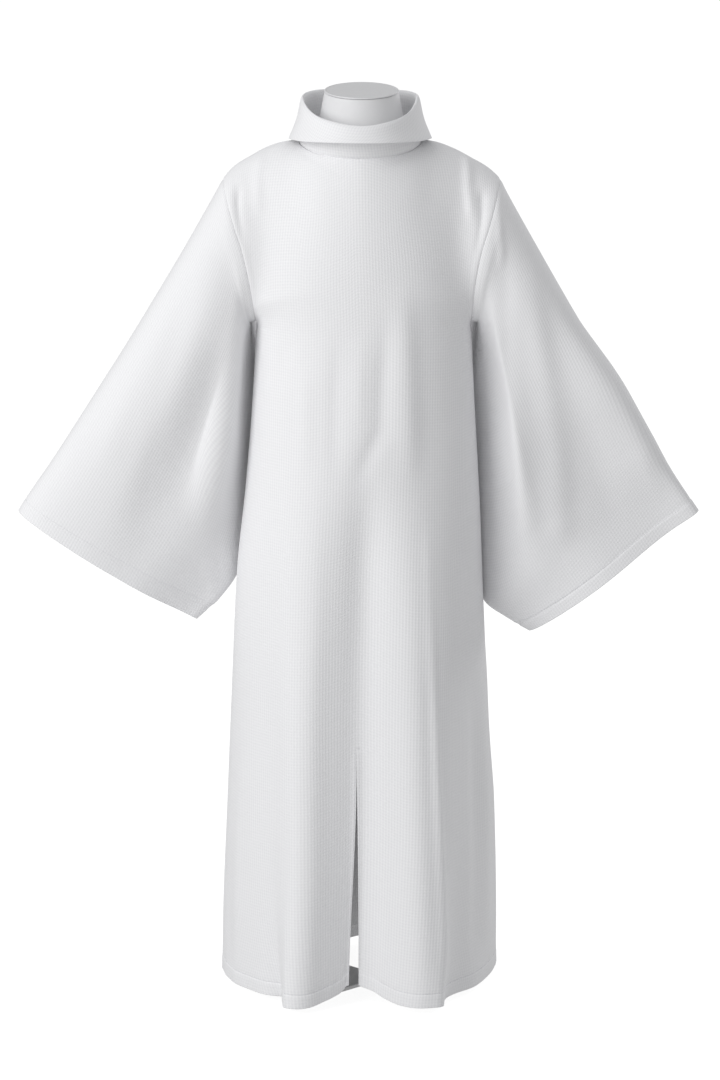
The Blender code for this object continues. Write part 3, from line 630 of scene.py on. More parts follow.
def hem_relief(size: HemSize, away: np.ndarray, along: np.ndarray) -> np.ndarray:
    """Relief of a turned hem.

    Args:
        size: The hem's sizes.
        away: Distance of each point from the cloth's edge, in metres.
        along: Length of each point along the edge, in metres.

    Returns:
        How far each point moves out.
    """
    step = size.swell * np.clip((size.depth - away) / size.edge_run + 0.5, 0, 1)
    groove = -size.groove * np.exp(-(((away - size.depth) / size.groove_width) ** 2))
    turn = 2 * math.pi * along / size.pucker_pitch
    uneven_turn = turn + 1.7 * np.sin(turn * 0.31)
    uneven_height = 0.6 + 0.4 * np.sin(turn * 0.173)
    wave = np.sin(uneven_turn) * uneven_height
    ripple = size.pucker * wave * np.exp(-(((away - size.depth) / size.pucker_reach) ** 2))
    return step + groove + ripple


def seam_relief(size: SeamSize, away: np.ndarray) -> np.ndarray:
    """How far the cloth beside a seam moves out, from each point's distance to it."""
    sink = -size.sink * np.exp(-((away / size.sink_width) ** 2))
    rise = np.clip(away / size.lift_run, 0, 1)
    fall = np.clip((size.allowance - away) / size.allowance_run + 0.5, 0, 1)
    return sink + size.lift * rise * fall


def distances(places: np.ndarray, axis: int) -> np.ndarray:
    """Length along each row or column of a grid of points, from its first point on."""
    steps = np.linalg.norm(np.diff(places, axis=axis), axis=2)
    start = np.zeros_like(np.take(steps, [0], axis=axis))
    return np.concatenate([start, np.cumsum(steps, axis=axis)], axis=axis)


def grid_normals(places: np.ndarray, closed: bool) -> np.ndarray:
    """Unit normal at each point of a grid, from its neighbours along the rows and columns."""
    if closed:
        wrapped = np.concatenate([places[:, -2:-1], places, places[:, 1:2]], axis=1)
        across = np.gradient(wrapped, axis=1)[:, 1:-1]
    else:
        across = np.gradient(places, axis=1)
    upward = np.gradient(places, axis=0)
    normals = np.cross(across, upward)
    lengths = np.linalg.norm(normals, axis=2, keepdims=True)
    return normals / np.maximum(lengths, 1e-12)


def crease_relief(crease: Crease, places: np.ndarray, front: np.ndarray) -> np.ndarray:
    """How far a crease moves each point of a grid out.

    Args:
        crease: The crease.
        places: The grid's points.
        front: Which of them the crease may touch.

    Returns:
        The relief at each point.
    """
    flat = places[..., [0, 2]]
    path = np.array(crease.path)
    spans = np.linalg.norm(np.diff(path, axis=0), axis=1)
    ends = np.concatenate([[0.0], np.cumsum(spans)])
    nearest = np.full(flat.shape[:2], np.inf)
    offset = np.zeros(flat.shape[:2])
    share = np.zeros(flat.shape[:2])
    for start, stop, span, begin in zip(path, path[1:], spans, ends):
        along = (stop - start) / span
        rel = flat - start
        t = np.clip(rel @ along, 0, span)
        gap = rel - t[..., None] * along
        size = np.linalg.norm(gap, axis=2)
        closer = size < nearest
        nearest = np.where(closer, size, nearest)
        side = rel[..., 0] * along[1] - rel[..., 1] * along[0]
        offset = np.where(closer, side, offset)
        share = np.where(closer, (begin + t) / ends[-1], share)
    width = np.where(offset < 0, crease.right, crease.left)
    profile = np.exp(-((nearest / width) ** 2))
    rise = np.clip(share / max(crease.start, 1e-6), 0, 1)
    fall = np.clip((1 - share) / max(crease.end, 1e-6), 0, 1)
    fade = (rise * rise * (3 - 2 * rise)) * (fall * fall * (3 - 2 * fall))
    return np.where(front, crease.height * profile * fade, 0.0)


def soft_wave(u: np.ndarray, v: np.ndarray, height: float, phase: float) -> np.ndarray:
    """Slow uneven swell of hanging cloth over its own lengths u across and v along.

    Three waves run across, aslant and along, each shifted by another so that none repeats.
    """
    first = np.sin(u * 61 + 2.1 * np.sin(v * 7.3 + phase) + phase)
    second = np.sin(u * 23 - v * 11 + 1.3 * np.sin(u * 17 + phase))
    third = np.sin(v * 29 + 1.9 * np.sin(u * 13 - phase))
    return height * (0.45 * first + 0.35 * second + 0.2 * third)


class ClothGrid:
    """A grid of cloth: its points, its lengths as UV and the mesh made from both."""

    thickness: float = 0.0018

    def __init__(
        self, name: str, places: np.ndarray, closed: bool = False, flip: bool = False
    ) -> None:
        """Keeps the points and works out the lengths of the cloth; a slit starts closed.

        Args:
            name: The piece's name.
            places: Points by row and column, with the last column on the first where closed.
            closed: Whether the grid is a tube.
            flip: Whether its rows run so that the plain normal points in.
        """
        self.name = name
        self.places = places
        self.closed = closed
        self.flip = flip
        self.across = distances(places, 1)
        self.along = distances(places, 0)
        self.lengths = np.stack([self.across, self.along], axis=2)
        self.gaps = np.zeros(places.shape[0])

    def normals(self) -> np.ndarray:
        """Outward unit normals of the points as they are now."""
        found = grid_normals(self.places, self.closed)
        return -found if self.flip else found

    def lift(self, relief: np.ndarray) -> None:
        """Moves every point out along its normal."""
        self.places = self.places + self.normals() * relief[..., None]

    def make(
        self, finish: bpy.types.Material, slit: tuple[int, int] | None = None
    ) -> bpy.types.Object:
        """Makes the piece's object.

        Args:
            finish: The material.
            slit: A column and the row up to which the grid is cut open along it.

        Returns:
            The object, with its wall made by a Solidify modifier.
        """
        rows, columns = self.places.shape[0] - 1, self.places.shape[1] - 1
        bm = bmesh.new()
        layer = bm.loops.layers.uv.new(UV_NAME)
        spots = lay_grid(bm, rows, columns)
        for face in bm.faces:
            face.smooth = True
            for loop in face.loops:
                loop[layer].uv = self.lengths[spots[loop.vert]]
        for vert, spot in spots.items():
            vert.co = Vector(self.places[spot])
        if slit is not None:
            self._cut(bm, spots, slit)
        if self.closed:
            bmesh.ops.remove_doubles(bm, verts=bm.verts[:], dist=MERGE_GAP)
        if self.flip:
            bmesh.ops.reverse_faces(bm, faces=bm.faces[:])
        thing = object_from(self.name, bm, finish)
        wall = thing.modifiers.new("wall", "SOLIDIFY")
        wall.thickness = self.thickness
        wall.offset = 0.0
        wall.use_even_offset = False
        return thing

    def _cut(self, bm: bmesh.types.BMesh, spots: dict, slit: tuple[int, int]) -> None:
        """Opens the grid along a column and moves each edge out by the row's half gap."""
        column, top = slit
        on_line = {vert for vert, spot in spots.items() if spot[1] == column and spot[0] <= top}
        rows = {vert: spots[vert][0] for vert in on_line}
        edges = [e for e in bm.edges if e.verts[0] in on_line and e.verts[1] in on_line]
        marks = {tuple(round(c, 6) for c in vert.co): row for vert, row in rows.items()}
        bmesh.ops.split_edges(bm, edges=edges)
        for vert in bm.verts:
            row = marks.get(tuple(round(c, 6) for c in vert.co))
            if row is None or row == top:
                continue
            centres = [face.calc_center_median().x for face in vert.link_faces]
            middle = sum(centres) / len(centres)
            side = 1 if middle > vert.co.x else -1
            vert.co.x += side * self.gaps[row]


def srgb(hex_code: str) -> tuple[float, float, float, float]:
    """Linear colour of an sRGB hex code."""
    parts = [int(hex_code[i : i + 2], 16) / 255 for i in (1, 3, 5)]
    linear = [p / 12.92 if p <= 0.04045 else ((p + 0.055) / 1.055) ** 2.4 for p in parts]
    return (linear[0], linear[1], linear[2], 1.0)


def add_node(tree: bpy.types.NodeTree, kind: str, settings: dict, links: dict) -> bpy.types.Node:
    """Adds one node.

    Args:
        tree: The node tree.
        kind: The node's type.
        settings: Values by property name, or by input name or number.
        links: Output sockets by the name or number of the input that they feed.

    Returns:
        The node.
    """
    node = tree.nodes.new(kind)
    for key, value in settings.items():
        if isinstance(key, str) and hasattr(node, key):
            setattr(node, key, value)
        else:
            node.inputs[key].default_value = value
    for key, socket in links.items():
        tree.links.new(socket, node.inputs[key])
    return node


def blank_material(name: str) -> tuple[bpy.types.Material, bpy.types.NodeTree, bpy.types.Node]:
    """A new material, its node tree and its Principled shader."""
    material = bpy.data.materials.new(name)
    material.use_nodes = True
    tree = material.node_tree
    return material, tree, tree.nodes["Principled BSDF"]


@dataclass(frozen=True)
class PebbleCloth:
    """Bleached polyester and cotton cloth in a pebbled waffle weave.

    It is matt, with a faint nap that lightens its edges, and small rounded cells in rows
    along the thread that catch a low light as a fine grain. Their hollows are painted a
    little darker, as painted shade.
    """

    name: str = "pebble_weave_polycotton"
    colour: str = "#F8F8F9"
    # Colour of the weave's hollows: painted shade, a little darker where the weave sinks.
    hollow_painted_shade: str = "#EEEEF0"
    roughness: float = 0.88
    sheen: float = 0.25
    sheen_roughness: float = 0.5
    ior: float = 1.45
    specular: float = 0.3
    cell: float = 0.0050
    cell_height: float = 0.00013
    columns: float = 0.62
    thread: float = 0.0011
    thread_height: float = 0.00002
    slack_scale: float = 14.0
    slack: float = 0.0006

    def make(self) -> bpy.types.Material:
        """Builds the material on the cloth's own lengths."""
        material, tree, shader = blank_material(self.name)
        shader.inputs["Roughness"].default_value = self.roughness
        shader.inputs["Sheen Weight"].default_value = self.sheen
        shader.inputs["Sheen Roughness"].default_value = self.sheen_roughness
        shader.inputs["IOR"].default_value = self.ior
        shader.inputs["Specular IOR Level"].default_value = self.specular
        lengths = add_node(tree, "ShaderNodeUVMap", {"uv_map": UV_NAME}, {})
        wobble = add_node(
            tree,
            "ShaderNodeTexNoise",
            {"Scale": self.slack_scale, "Detail": 1.0},
            {"Vector": lengths.outputs[0]},
        )
        slack = add_node(
            tree,
            "ShaderNodeVectorMath",
            {"operation": "MULTIPLY_ADD", 1: (self.slack, self.slack, 0.0)},
            {0: wobble.outputs["Color"], 2: lengths.outputs[0]},
        )
        apart = add_node(tree, "ShaderNodeSeparateXYZ", {}, {0: slack.outputs[0]})
        cells = self._lattice(tree, apart, self.cell)
        threads = self._lattice(tree, apart, self.thread)
        fine = add_node(
            tree,
            "ShaderNodeMath",
            {"operation": "MULTIPLY", 1: self.thread_height / self.cell_height},
            {0: threads.outputs[0]},
        )
        relief = add_node(
            tree, "ShaderNodeMath", {"operation": "ADD"}, {0: cells.outputs[0], 1: fine.outputs[0]}
        )
        # Painted shade: low relief takes the darker hollow colour and high relief the plain white.
        hollow_shade_share = add_node(
            tree,
            "ShaderNodeMapRange",
            {"From Min": -1.0, "From Max": 1.0, "To Min": 0.0, "To Max": 1.0},
            {"Value": relief.outputs[0]},
        )
        blend = add_node(
            tree,
            "ShaderNodeMix",
            {"data_type": "RGBA", 6: srgb(self.hollow_painted_shade), 7: srgb(self.colour)},
            {0: hollow_shade_share.outputs[0]},
        )
        tree.links.new(blend.outputs[2], shader.inputs["Base Color"])
        dent = add_node(
            tree,
            "ShaderNodeBump",
            {"Strength": 1.0, "Distance": self.cell_height},
            {"Height": relief.outputs[0]},
        )
        tree.links.new(dent.outputs[0], shader.inputs["Normal"])
        return material

    def _lattice(
        self, tree: bpy.types.NodeTree, apart: bpy.types.Node, pitch: float
    ) -> bpy.types.Node:
        """Rounded cells of one pitch across and along the thread, as one node's output."""
        waves = []
        for axis, share in ((0, self.columns), (1, 1 - self.columns)):
            turn = add_node(
                tree,
                "ShaderNodeMath",
                {"operation": "MULTIPLY", 1: 2 * math.pi / pitch},
                {0: apart.outputs[axis]},
            )
            wave = add_node(tree, "ShaderNodeMath", {"operation": "SINE"}, {0: turn.outputs[0]})
            scaled = {"operation": "MULTIPLY", 1: share}
            waves.append(add_node(tree, "ShaderNodeMath", scaled, {0: wave.outputs[0]}))
        return add_node(
            tree,
            "ShaderNodeMath",
            {"operation": "ADD"},
            {0: waves[0].outputs[0], 1: waves[1].outputs[0]},
        )


@dataclass(frozen=True)
class MouldedFinish:
    """A moulded or painted surface: nearly plain, with a faint mottle and orange peel."""

    name: str
    colour: str
    mottle: str
    roughness: float
    grain: float = 0.012
    peel: float = 0.00004
    peel_scale: float = 900.0
    peel_strength: float = 0.5
    coat: float = 0.0

    def make(self) -> bpy.types.Material:
        """Builds the material on object coordinates."""
        material, tree, shader = blank_material(self.name)
        shader.inputs["Roughness"].default_value = self.roughness
        shader.inputs["Coat Weight"].default_value = self.coat
        place = add_node(tree, "ShaderNodeTexCoord", {}, {}).outputs["Object"]
        cloud = add_node(
            tree, "ShaderNodeTexNoise", {"Scale": 1 / self.grain, "Detail": 3.0}, {"Vector": place}
        )
        blend = add_node(
            tree,
            "ShaderNodeMix",
            {"data_type": "RGBA", 6: srgb(self.mottle), 7: srgb(self.colour)},
            {0: cloud.outputs["Fac"]},
        )
        tree.links.new(blend.outputs[2], shader.inputs["Base Color"])
        fine = add_node(
            tree,
            "ShaderNodeTexNoise",
            {"Scale": self.peel_scale, "Detail": 1.0},
            {"Vector": place},
        )
        dent = add_node(
            tree,
            "ShaderNodeBump",
            {"Strength": self.peel_strength, "Distance": self.peel},
            {"Height": fine.outputs["Fac"]},
        )
        tree.links.new(dent.outputs[0], shader.inputs["Normal"])
        return material


FORM_SHELL = MouldedFinish("moulded_shell", "#ECECED", "#E8E8E9", 0.55)
FORM_CAP = MouldedFinish("lacquered_cap", "#E7E7E8", "#E2E2E3", 0.42, coat=0.15)
STAND_PAINT = MouldedFinish("powder_coated_steel", "#F6F6F6", "#F2F2F2", 0.40)
THREAD = MouldedFinish("polyester_thread", "#EFEFF1", "#E6E6E9", 0.6, grain=0.002)


@dataclass
class SewingKit:
    """What the alb's pieces share: the drape, the hem and seam sizes and the finishes."""

    drape: Drape
    cloth: bpy.types.Material
    thread: bpy.types.Material
    hem: HemSize = HemSize()
    seam: SeamSize = SeamSize()
    calm_edge: float = 0.02

    def calm(self, away: np.ndarray) -> np.ndarray:
        """Share of a crease left at a distance from the seams, where the cloth lies still."""
        return np.clip(away / self.calm_edge, 0, 1)

    @property
    def stitch_height(self) -> float:
        """How far above the middle of the cloth a stitch lies."""
        return ClothGrid.thickness / 2 + self.hem.thread * self.hem.thread_proud


class StitchRow:
    """Machine stitches laid end to end along lines of a piece, as one mesh."""

    def __init__(self, name: str, size: HemSize) -> None:
        """Starts an empty mesh of stitches."""
        self.name = name
        self.size = size
        self.bm = bmesh.new()

    def lay(self, line: np.ndarray, normals: np.ndarray, raise_by: float) -> None:
        """Lays stitches along a line of points on the cloth.

        Args:
            line: Points along the middle of the cloth.
            normals: The cloth's normal at each.
            raise_by: How far above the middle of the cloth the thread lies.
        """
        steps = np.linalg.norm(np.diff(line, axis=0), axis=1)
        reach = np.concatenate([[0.0], np.cumsum(steps)])
        size = self.size
        count = int(reach[-1] / size.stitch_pitch)
        for n in range(count):
            at = (n + 0.5) * size.stitch_pitch
            k = min(int(np.searchsorted(reach, at)) - 1, len(steps) - 1)
            t = (at - reach[k]) / max(steps[k], 1e-9)
            place = line[k] + (line[k + 1] - line[k]) * t
            normal = Vector(normals[k]).normalized()
            along = Vector(line[k + 1] - line[k]).normalized()
            beside = normal.cross(along).normalized()
            axes = Matrix((along, beside, normal)).transposed().to_4x4()
            spread = Matrix.Diagonal((size.stitch_length, size.thread, size.thread, 1.0))
            move = Matrix.Translation(Vector(place) + normal * raise_by)
            bmesh.ops.create_cube(self.bm, size=1.0, matrix=move @ axes @ spread)

    def make(self, finish: bpy.types.Material) -> bpy.types.Object:
        """Makes the object of all the stitches laid so far."""
        return object_from(self.name, self.bm, finish)


def spread_values(start: float, stop: float, step: float) -> list[float]:
    """Even values from start to stop, about one step apart, both ends included."""
    count = max(1, round((stop - start) / step))
    return [start + (stop - start) * n / count for n in range(count + 1)]


@dataclass
class BodyPanel:
    """Front or back of the alb, from the hem to the shoulder and neck seams."""

    kit: SewingKit
    side: Side
    name: str
    flat: tuple[float, float]
    area: float
    creases: tuple[Crease, ...] = ()
    column_step: float = 0.0135
    row_step: float = 0.0075
    rise_step: float = 0.017
    wave: float = 0.0006
    # Coarse places across and up the armpits' rows, and how often the cloth evens out.
    coarse_step: float = 0.05
    coarse_span: tuple[float, float, float] = (0.93, 1.46, 0.03)
    coarse_rounds: int = 6
    fine_rounds: int = 12
    # Where up the panel the rows are rounded across, and how many columns stay at each edge.
    rounding: int = 70
    round_from: float = 1.16
    round_rise: float = 0.25
    round_to: float = 1.985
    round_fall: float = 0.10
    round_edge: int = 8
    # How the vent's turned edge fades out at its top, and the bar tack sewn across it.
    vent_fade: float = 0.02
    tack_half: float = 0.006
    tack_pitch: float = 0.0007

    def shares(self) -> list[float]:
        """Columns across the panel, closer at its side seams and at the vent."""
        near_seam = (0.0025, 0.006, 0.010)
        near_vent = (0.0035, 0.008, 0.013, 0.019, 0.026)
        past_vent = 0.03
        values = set(spread_values(-1.0, 1.0, self.column_step))
        values |= {sign * (1 - gap) for gap in near_seam for sign in (-1, 1)}
        if self.side is Side.FRONT:
            values = {v for v in values if abs(v) > past_vent or v == 0.0}
            values |= {sign * gap for gap in near_vent for sign in (-1, 1)} | {0.0}
        return sorted(values)

    def heights(self) -> list[float]:
        """Rows up the panel, closer at its hem and its top seams."""
        drape, hem = self.kit.drape, self.kit.hem
        low = [0.0, 0.0015, 0.005, 0.010, 0.015, 0.0185]
        low += [hem.depth + shift for shift in (-0.002, -0.001, 0.0, 0.001, 0.002, 0.004)]
        above_hem = 0.032
        tall = drape.armpit_z - drape.hem_z
        vent = drape.vent_top_z - drape.hem_z
        rows = low + spread_values(above_hem, vent, self.row_step)
        rows += spread_values(vent, tall, self.row_step)[1:]
        shares = [row / tall for row in rows[:-1]]
        shares += [1 + rise for rise in spread_values(0.0, 1.0, self.rise_step)]
        return shares[:-1] + [1.990, 1.995, 2.0]

    def relaxed(self, shares: list[float], heights: list[float]) -> np.ndarray:
        """How far the cloth evens itself out where its rows turn up over the armpits."""
        drape, side = self.kit.drape, self.side.value
        coarse_s = spread_values(-1.0, 1.0, self.coarse_step)
        coarse_v = spread_values(*self.coarse_span)
        plain = np.array([[drape.panel_point(side, s, v) for s in coarse_s] for v in coarse_v])
        soft = plain.copy()
        for _ in range(self.coarse_rounds):
            around = (soft[1:-1, :-2] + soft[1:-1, 2:] + soft[:-2, 1:-1] + soft[2:, 1:-1]) / 4
            soft[1:-1, 1:-1] = (soft[1:-1, 1:-1] + around) / 2
        moved = soft - plain
        by_column = np.array(
            [[np.interp(shares, coarse_s, row[:, k]) for k in range(3)] for row in moved]
        )
        result = np.zeros((len(heights), len(shares), 3))
        for k in range(3):
            for i in range(len(shares)):
                column = by_column[:, k, i]
                result[:, i, k] = np.interp(heights, coarse_v, column, left=0.0, right=0.0)
        for _ in range(self.fine_rounds):
            result[1:-1, 1:-1] = (
                result[1:-1, :-2] + result[1:-1, 2:] + result[:-2, 1:-1] + result[2:, 1:-1]
            ) / 4
        return result

    def rounded(self, places: np.ndarray, heights: list[float]) -> np.ndarray:
        """The points with the upper rows rounded across, where shoulder meets neck."""
        levels = np.array(heights)
        rise = np.clip((levels - self.round_from) / self.round_rise, 0, 1)
        fall = np.clip((self.round_to - levels) / self.round_fall, 0, 1)
        weight = (rise * fall)[:, None, None]
        result = places.copy()
        for _ in range(self.rounding):
            beside = (result[:, :-2] + result[:, 2:]) / 2
            result[:, 1:-1] += weight * 0.5 * (beside - result[:, 1:-1])
        edge = np.clip(np.arange(places.shape[1]) / self.round_edge, 0, 1)
        edge = np.minimum(edge, edge[::-1])[None, :, None]
        return places + (result - places) * edge

    def part_vent(self, places: np.ndarray, shares: list[float]) -> np.ndarray:
        """Parts the cloth beside the vent and returns the half gap at every row."""
        drape = self.kit.drape
        height = (places[:, len(shares) // 2, 2] - drape.hem_z) / (drape.vent_top_z - drape.hem_z)
        gaps = np.array([drape.vent_half_gap * ease(1 - h) if h < 1 else 0.0 for h in height])
        for i, s in enumerate(shares):
            if 0 < abs(s) < drape.vent_share:
                places[:, i, 0] += math.copysign(1, s) * gaps * (1 - abs(s) / drape.vent_share)
        return gaps

    def build(self) -> list[bpy.types.Object]:
        """Builds the panel and its stitches.

        Returns:
            The panel, then its stitches.
        """
        kit, side = self.kit, self.side.value
        shares, heights = self.shares(), self.heights()
        drape = kit.drape
        places = np.array([[drape.panel_point(side, s, v) for s in shares] for v in heights])
        places = self.rounded(places + self.relaxed(shares, heights), heights)
        middle = shares.index(0.0) if self.side is Side.FRONT else len(shares) // 2
        grid = ClothGrid(self.name, places, flip=self.side is Side.BACK)
        grid.lengths[..., 0] -= grid.across[:, middle][:, None]
        reach = grid.across[:, -1][:, None]
        to_side = np.minimum(grid.across, reach - grid.across)
        to_top = grid.along[-1][None, :] - grid.along
        calm = kit.calm(np.minimum(to_side, to_top))
        relief = soft_wave(grid.lengths[..., 0], grid.lengths[..., 1], self.wave, side) * calm
        everywhere = np.ones(calm.shape, bool)
        for crease in self.creases:
            relief += crease_relief(crease, places, everywhere) * calm
        grid.lift(relief)
        fine = hem_relief(kit.hem, grid.along, grid.across)
        fine += seam_relief(kit.seam, to_side) + seam_relief(kit.seam, to_top)
        slit = None
        if self.side is Side.FRONT:
            top = heights.index(min(heights, key=lambda v: abs(v - self.vent_height())))
            to_vent = np.abs(grid.lengths[..., 0])
            below = np.clip((self.vent_height() - np.array(heights)) / self.vent_fade, 0, 1)
            fine += hem_relief(VENT_EDGE, to_vent, grid.along) * below[:, None]
            slit = (middle, top)
        grid.lift(fine)
        if slit is not None:
            grid.gaps = self.part_vent(grid.places, shares)
        panel = grid.make(kit.cloth, slit)
        rows = StitchRow(self.name + "_stitches", kit.hem)
        normals = grid.normals()
        row = int(np.argmin(np.abs(grid.along[:, middle] - kit.hem.depth)))
        above = kit.stitch_height
        if slit is None:
            rows.lay(grid.places[row], normals[row], above)
        else:
            rows.lay(grid.places[row, : middle - 1], normals[row, : middle - 1], above)
            rows.lay(grid.places[row, middle + 2 :], normals[row, middle + 2 :], above)
            for sign in (-1, 1):
                column = middle + sign * 3
                rows.lay(grid.places[2 : slit[1], column], normals[2 : slit[1], column], above)
            self.bar_tack(rows, grid, middle, slit[1], above)
        return [panel, rows.make(kit.thread)]

    def vent_height(self) -> float:
        """Share of the panel's height at which the vent ends."""
        drape = self.kit.drape
        return (drape.vent_top_z - drape.hem_z) / (drape.armpit_z - drape.hem_z)

    def bar_tack(
        self, rows: StitchRow, grid: ClothGrid, middle: int, top: int, above: float
    ) -> None:
        """Sews the short dense bar across the top of the vent."""
        centre = grid.places[top, middle]
        normal = grid.normals()[top, middle]
        for n in range(3):
            shift = np.array([0.0, 0.0, self.tack_pitch * (n - 1)])
            reach = np.array([self.tack_half, 0.0, 0.0])
            line = np.array([centre + shift + sign * reach for sign in (-1, 0, 1)])
            rows.lay(line, np.array([normal] * 3), above)


VENT_EDGE = HemSize(depth=0.0075, swell=0.0007, groove=0.0005, groove_width=0.0015, pucker=0.0003)


@dataclass
class Sleeve:
    """A wide sleeve, open at the armhole and the cuff, with one seam under the arm."""

    kit: SewingKit
    hand: Hand
    name: str
    flat: tuple[float, float]
    area: float
    creases: tuple[Crease, ...] = ()
    back_creases: tuple[Crease, ...] = ()
    ring_step: float = 0.019
    run_step: float = 0.0105
    long: float = 0.65
    wave: float = 0.0006

    def ring(self) -> list[tuple[int, float]]:
        """Places once round the sleeve, from the underarm over the front and back again."""
        rises = spread_values(0.0, 1.0, self.ring_step)
        return [(-1, r) for r in rises] + [(1, r) for r in reversed(rises[:-1])]

    def runs(self) -> list[float]:
        """Places down the sleeve, closer at the armhole seam and the hem."""
        long = self.long
        near = [away / long for away in (0.0, 0.0025, 0.006, 0.010)]
        hem = self.kit.hem.depth
        low = [1 - (hem + shift) / long for shift in (0.006, 0.003, 0.0015, 0, -0.0015, -0.003)]
        low += [1 - away / long for away in (0.014, 0.009, 0.004, 0.0015, 0.0)]
        return near + spread_values(0.022, low[0] - 0.008, self.run_step) + low

    def build(self) -> list[bpy.types.Object]:
        """Builds the sleeve and its stitches.

        Returns:
            The sleeve, then its stitches.
        """
        kit, hand = self.kit, self.hand.value
        ring, runs = self.ring(), self.runs()
        drape = kit.drape
        places = np.array(
            [[drape.sleeve_point(hand, side, rise, run) for side, rise in ring] for run in runs]
        )
        grid = ClothGrid(self.name, places, closed=True, flip=self.hand is Hand.LEFT)
        top = len(ring) // 2
        grid.lengths[..., 0] -= grid.across[:, top][:, None]
        to_armhole = grid.along
        to_cuff = grid.along[-1][None, :] - grid.along
        to_under = np.minimum(grid.across, grid.across[:, -1][:, None] - grid.across)
        calm = kit.calm(np.minimum(to_armhole, to_under))
        across, along = grid.lengths[..., 0], grid.lengths[..., 1]
        relief = soft_wave(across, along, self.wave, 2.0 * hand) * calm
        front = np.zeros(calm.shape, bool)
        front[:, : top + 1] = True
        for crease in self.creases:
            relief += crease_relief(crease, places, front) * calm
        for crease in self.back_creases:
            relief += crease_relief(crease, places, ~front) * calm
        grid.lift(relief)
        fine = hem_relief(kit.hem, to_cuff, grid.across)
        fine += seam_relief(kit.seam, to_armhole) + seam_relief(kit.seam, to_under)
        grid.lift(fine)
        sleeve = grid.make(kit.cloth)
        rows = StitchRow(self.name + "_stitches", kit.hem)
        row = int(np.argmin(np.abs(to_cuff[:, top] - kit.hem.depth)))
        above = kit.stitch_height
        rows.lay(grid.places[row], grid.normals()[row], above)
        return [sleeve, rows.make(kit.thread)]


@dataclass
class Collar:
    """The collar: it stands up from the neck seam and folds over to a wide soft fall.

    Its steps run from 0 at the neck seam to the last at the edge of the fall.
    """

    kit: SewingKit
    name: str = "collar_fold"
    flat: tuple[float, float] = (0.75, 0.15)
    area: float = 0.085
    turn_step: float = 0.030
    step_step: float = 0.10
    wave: float = 0.0008
    stand_to: float = 2.0
    fall_from: float = 2.6
    last_step: float = 5.0

    def ring(self) -> list[tuple[int, float]]:
        """Places once round the neck, from the right shoulder over the front and back again."""
        turns = spread_values(-1.0, 1.0, self.turn_step)
        return [(-1, t) for t in turns] + [(1, t) for t in reversed(turns[:-1])]

    def build(self) -> list[bpy.types.Object]:
        """Builds the collar.

        Returns:
            The collar alone.
        """
        kit = self.kit
        ring = self.ring()
        last = self.last_step
        steps = [0.0, 0.03, 0.07] + spread_values(0.12, last - 0.1, self.step_step)
        steps += [last - 0.05, last]
        point = kit.drape.collar_point
        places = np.array([[point(side, turn, step) for side, turn in ring] for step in steps])
        grid = ClothGrid(self.name, places, closed=True)
        around = 2 * math.pi * grid.across / grid.across[:, -1:]
        fall = np.clip((np.array(steps) - self.fall_from) / (last - self.fall_from), 0, 1)
        stand = np.clip(np.array(steps) / self.stand_to, 0, 1) * (1 - fall)
        # Three slow waves and seven small ones once round the neck.
        slack = np.sin(3 * around + 0.6) + 0.6 * np.sin(7 * around + 2.0)
        relief = self.wave * slack * (stand + fall)[:, None]
        grid.lift(relief)
        grid.lift(seam_relief(kit.seam, grid.along))
        return [grid.make(kit.cloth)]


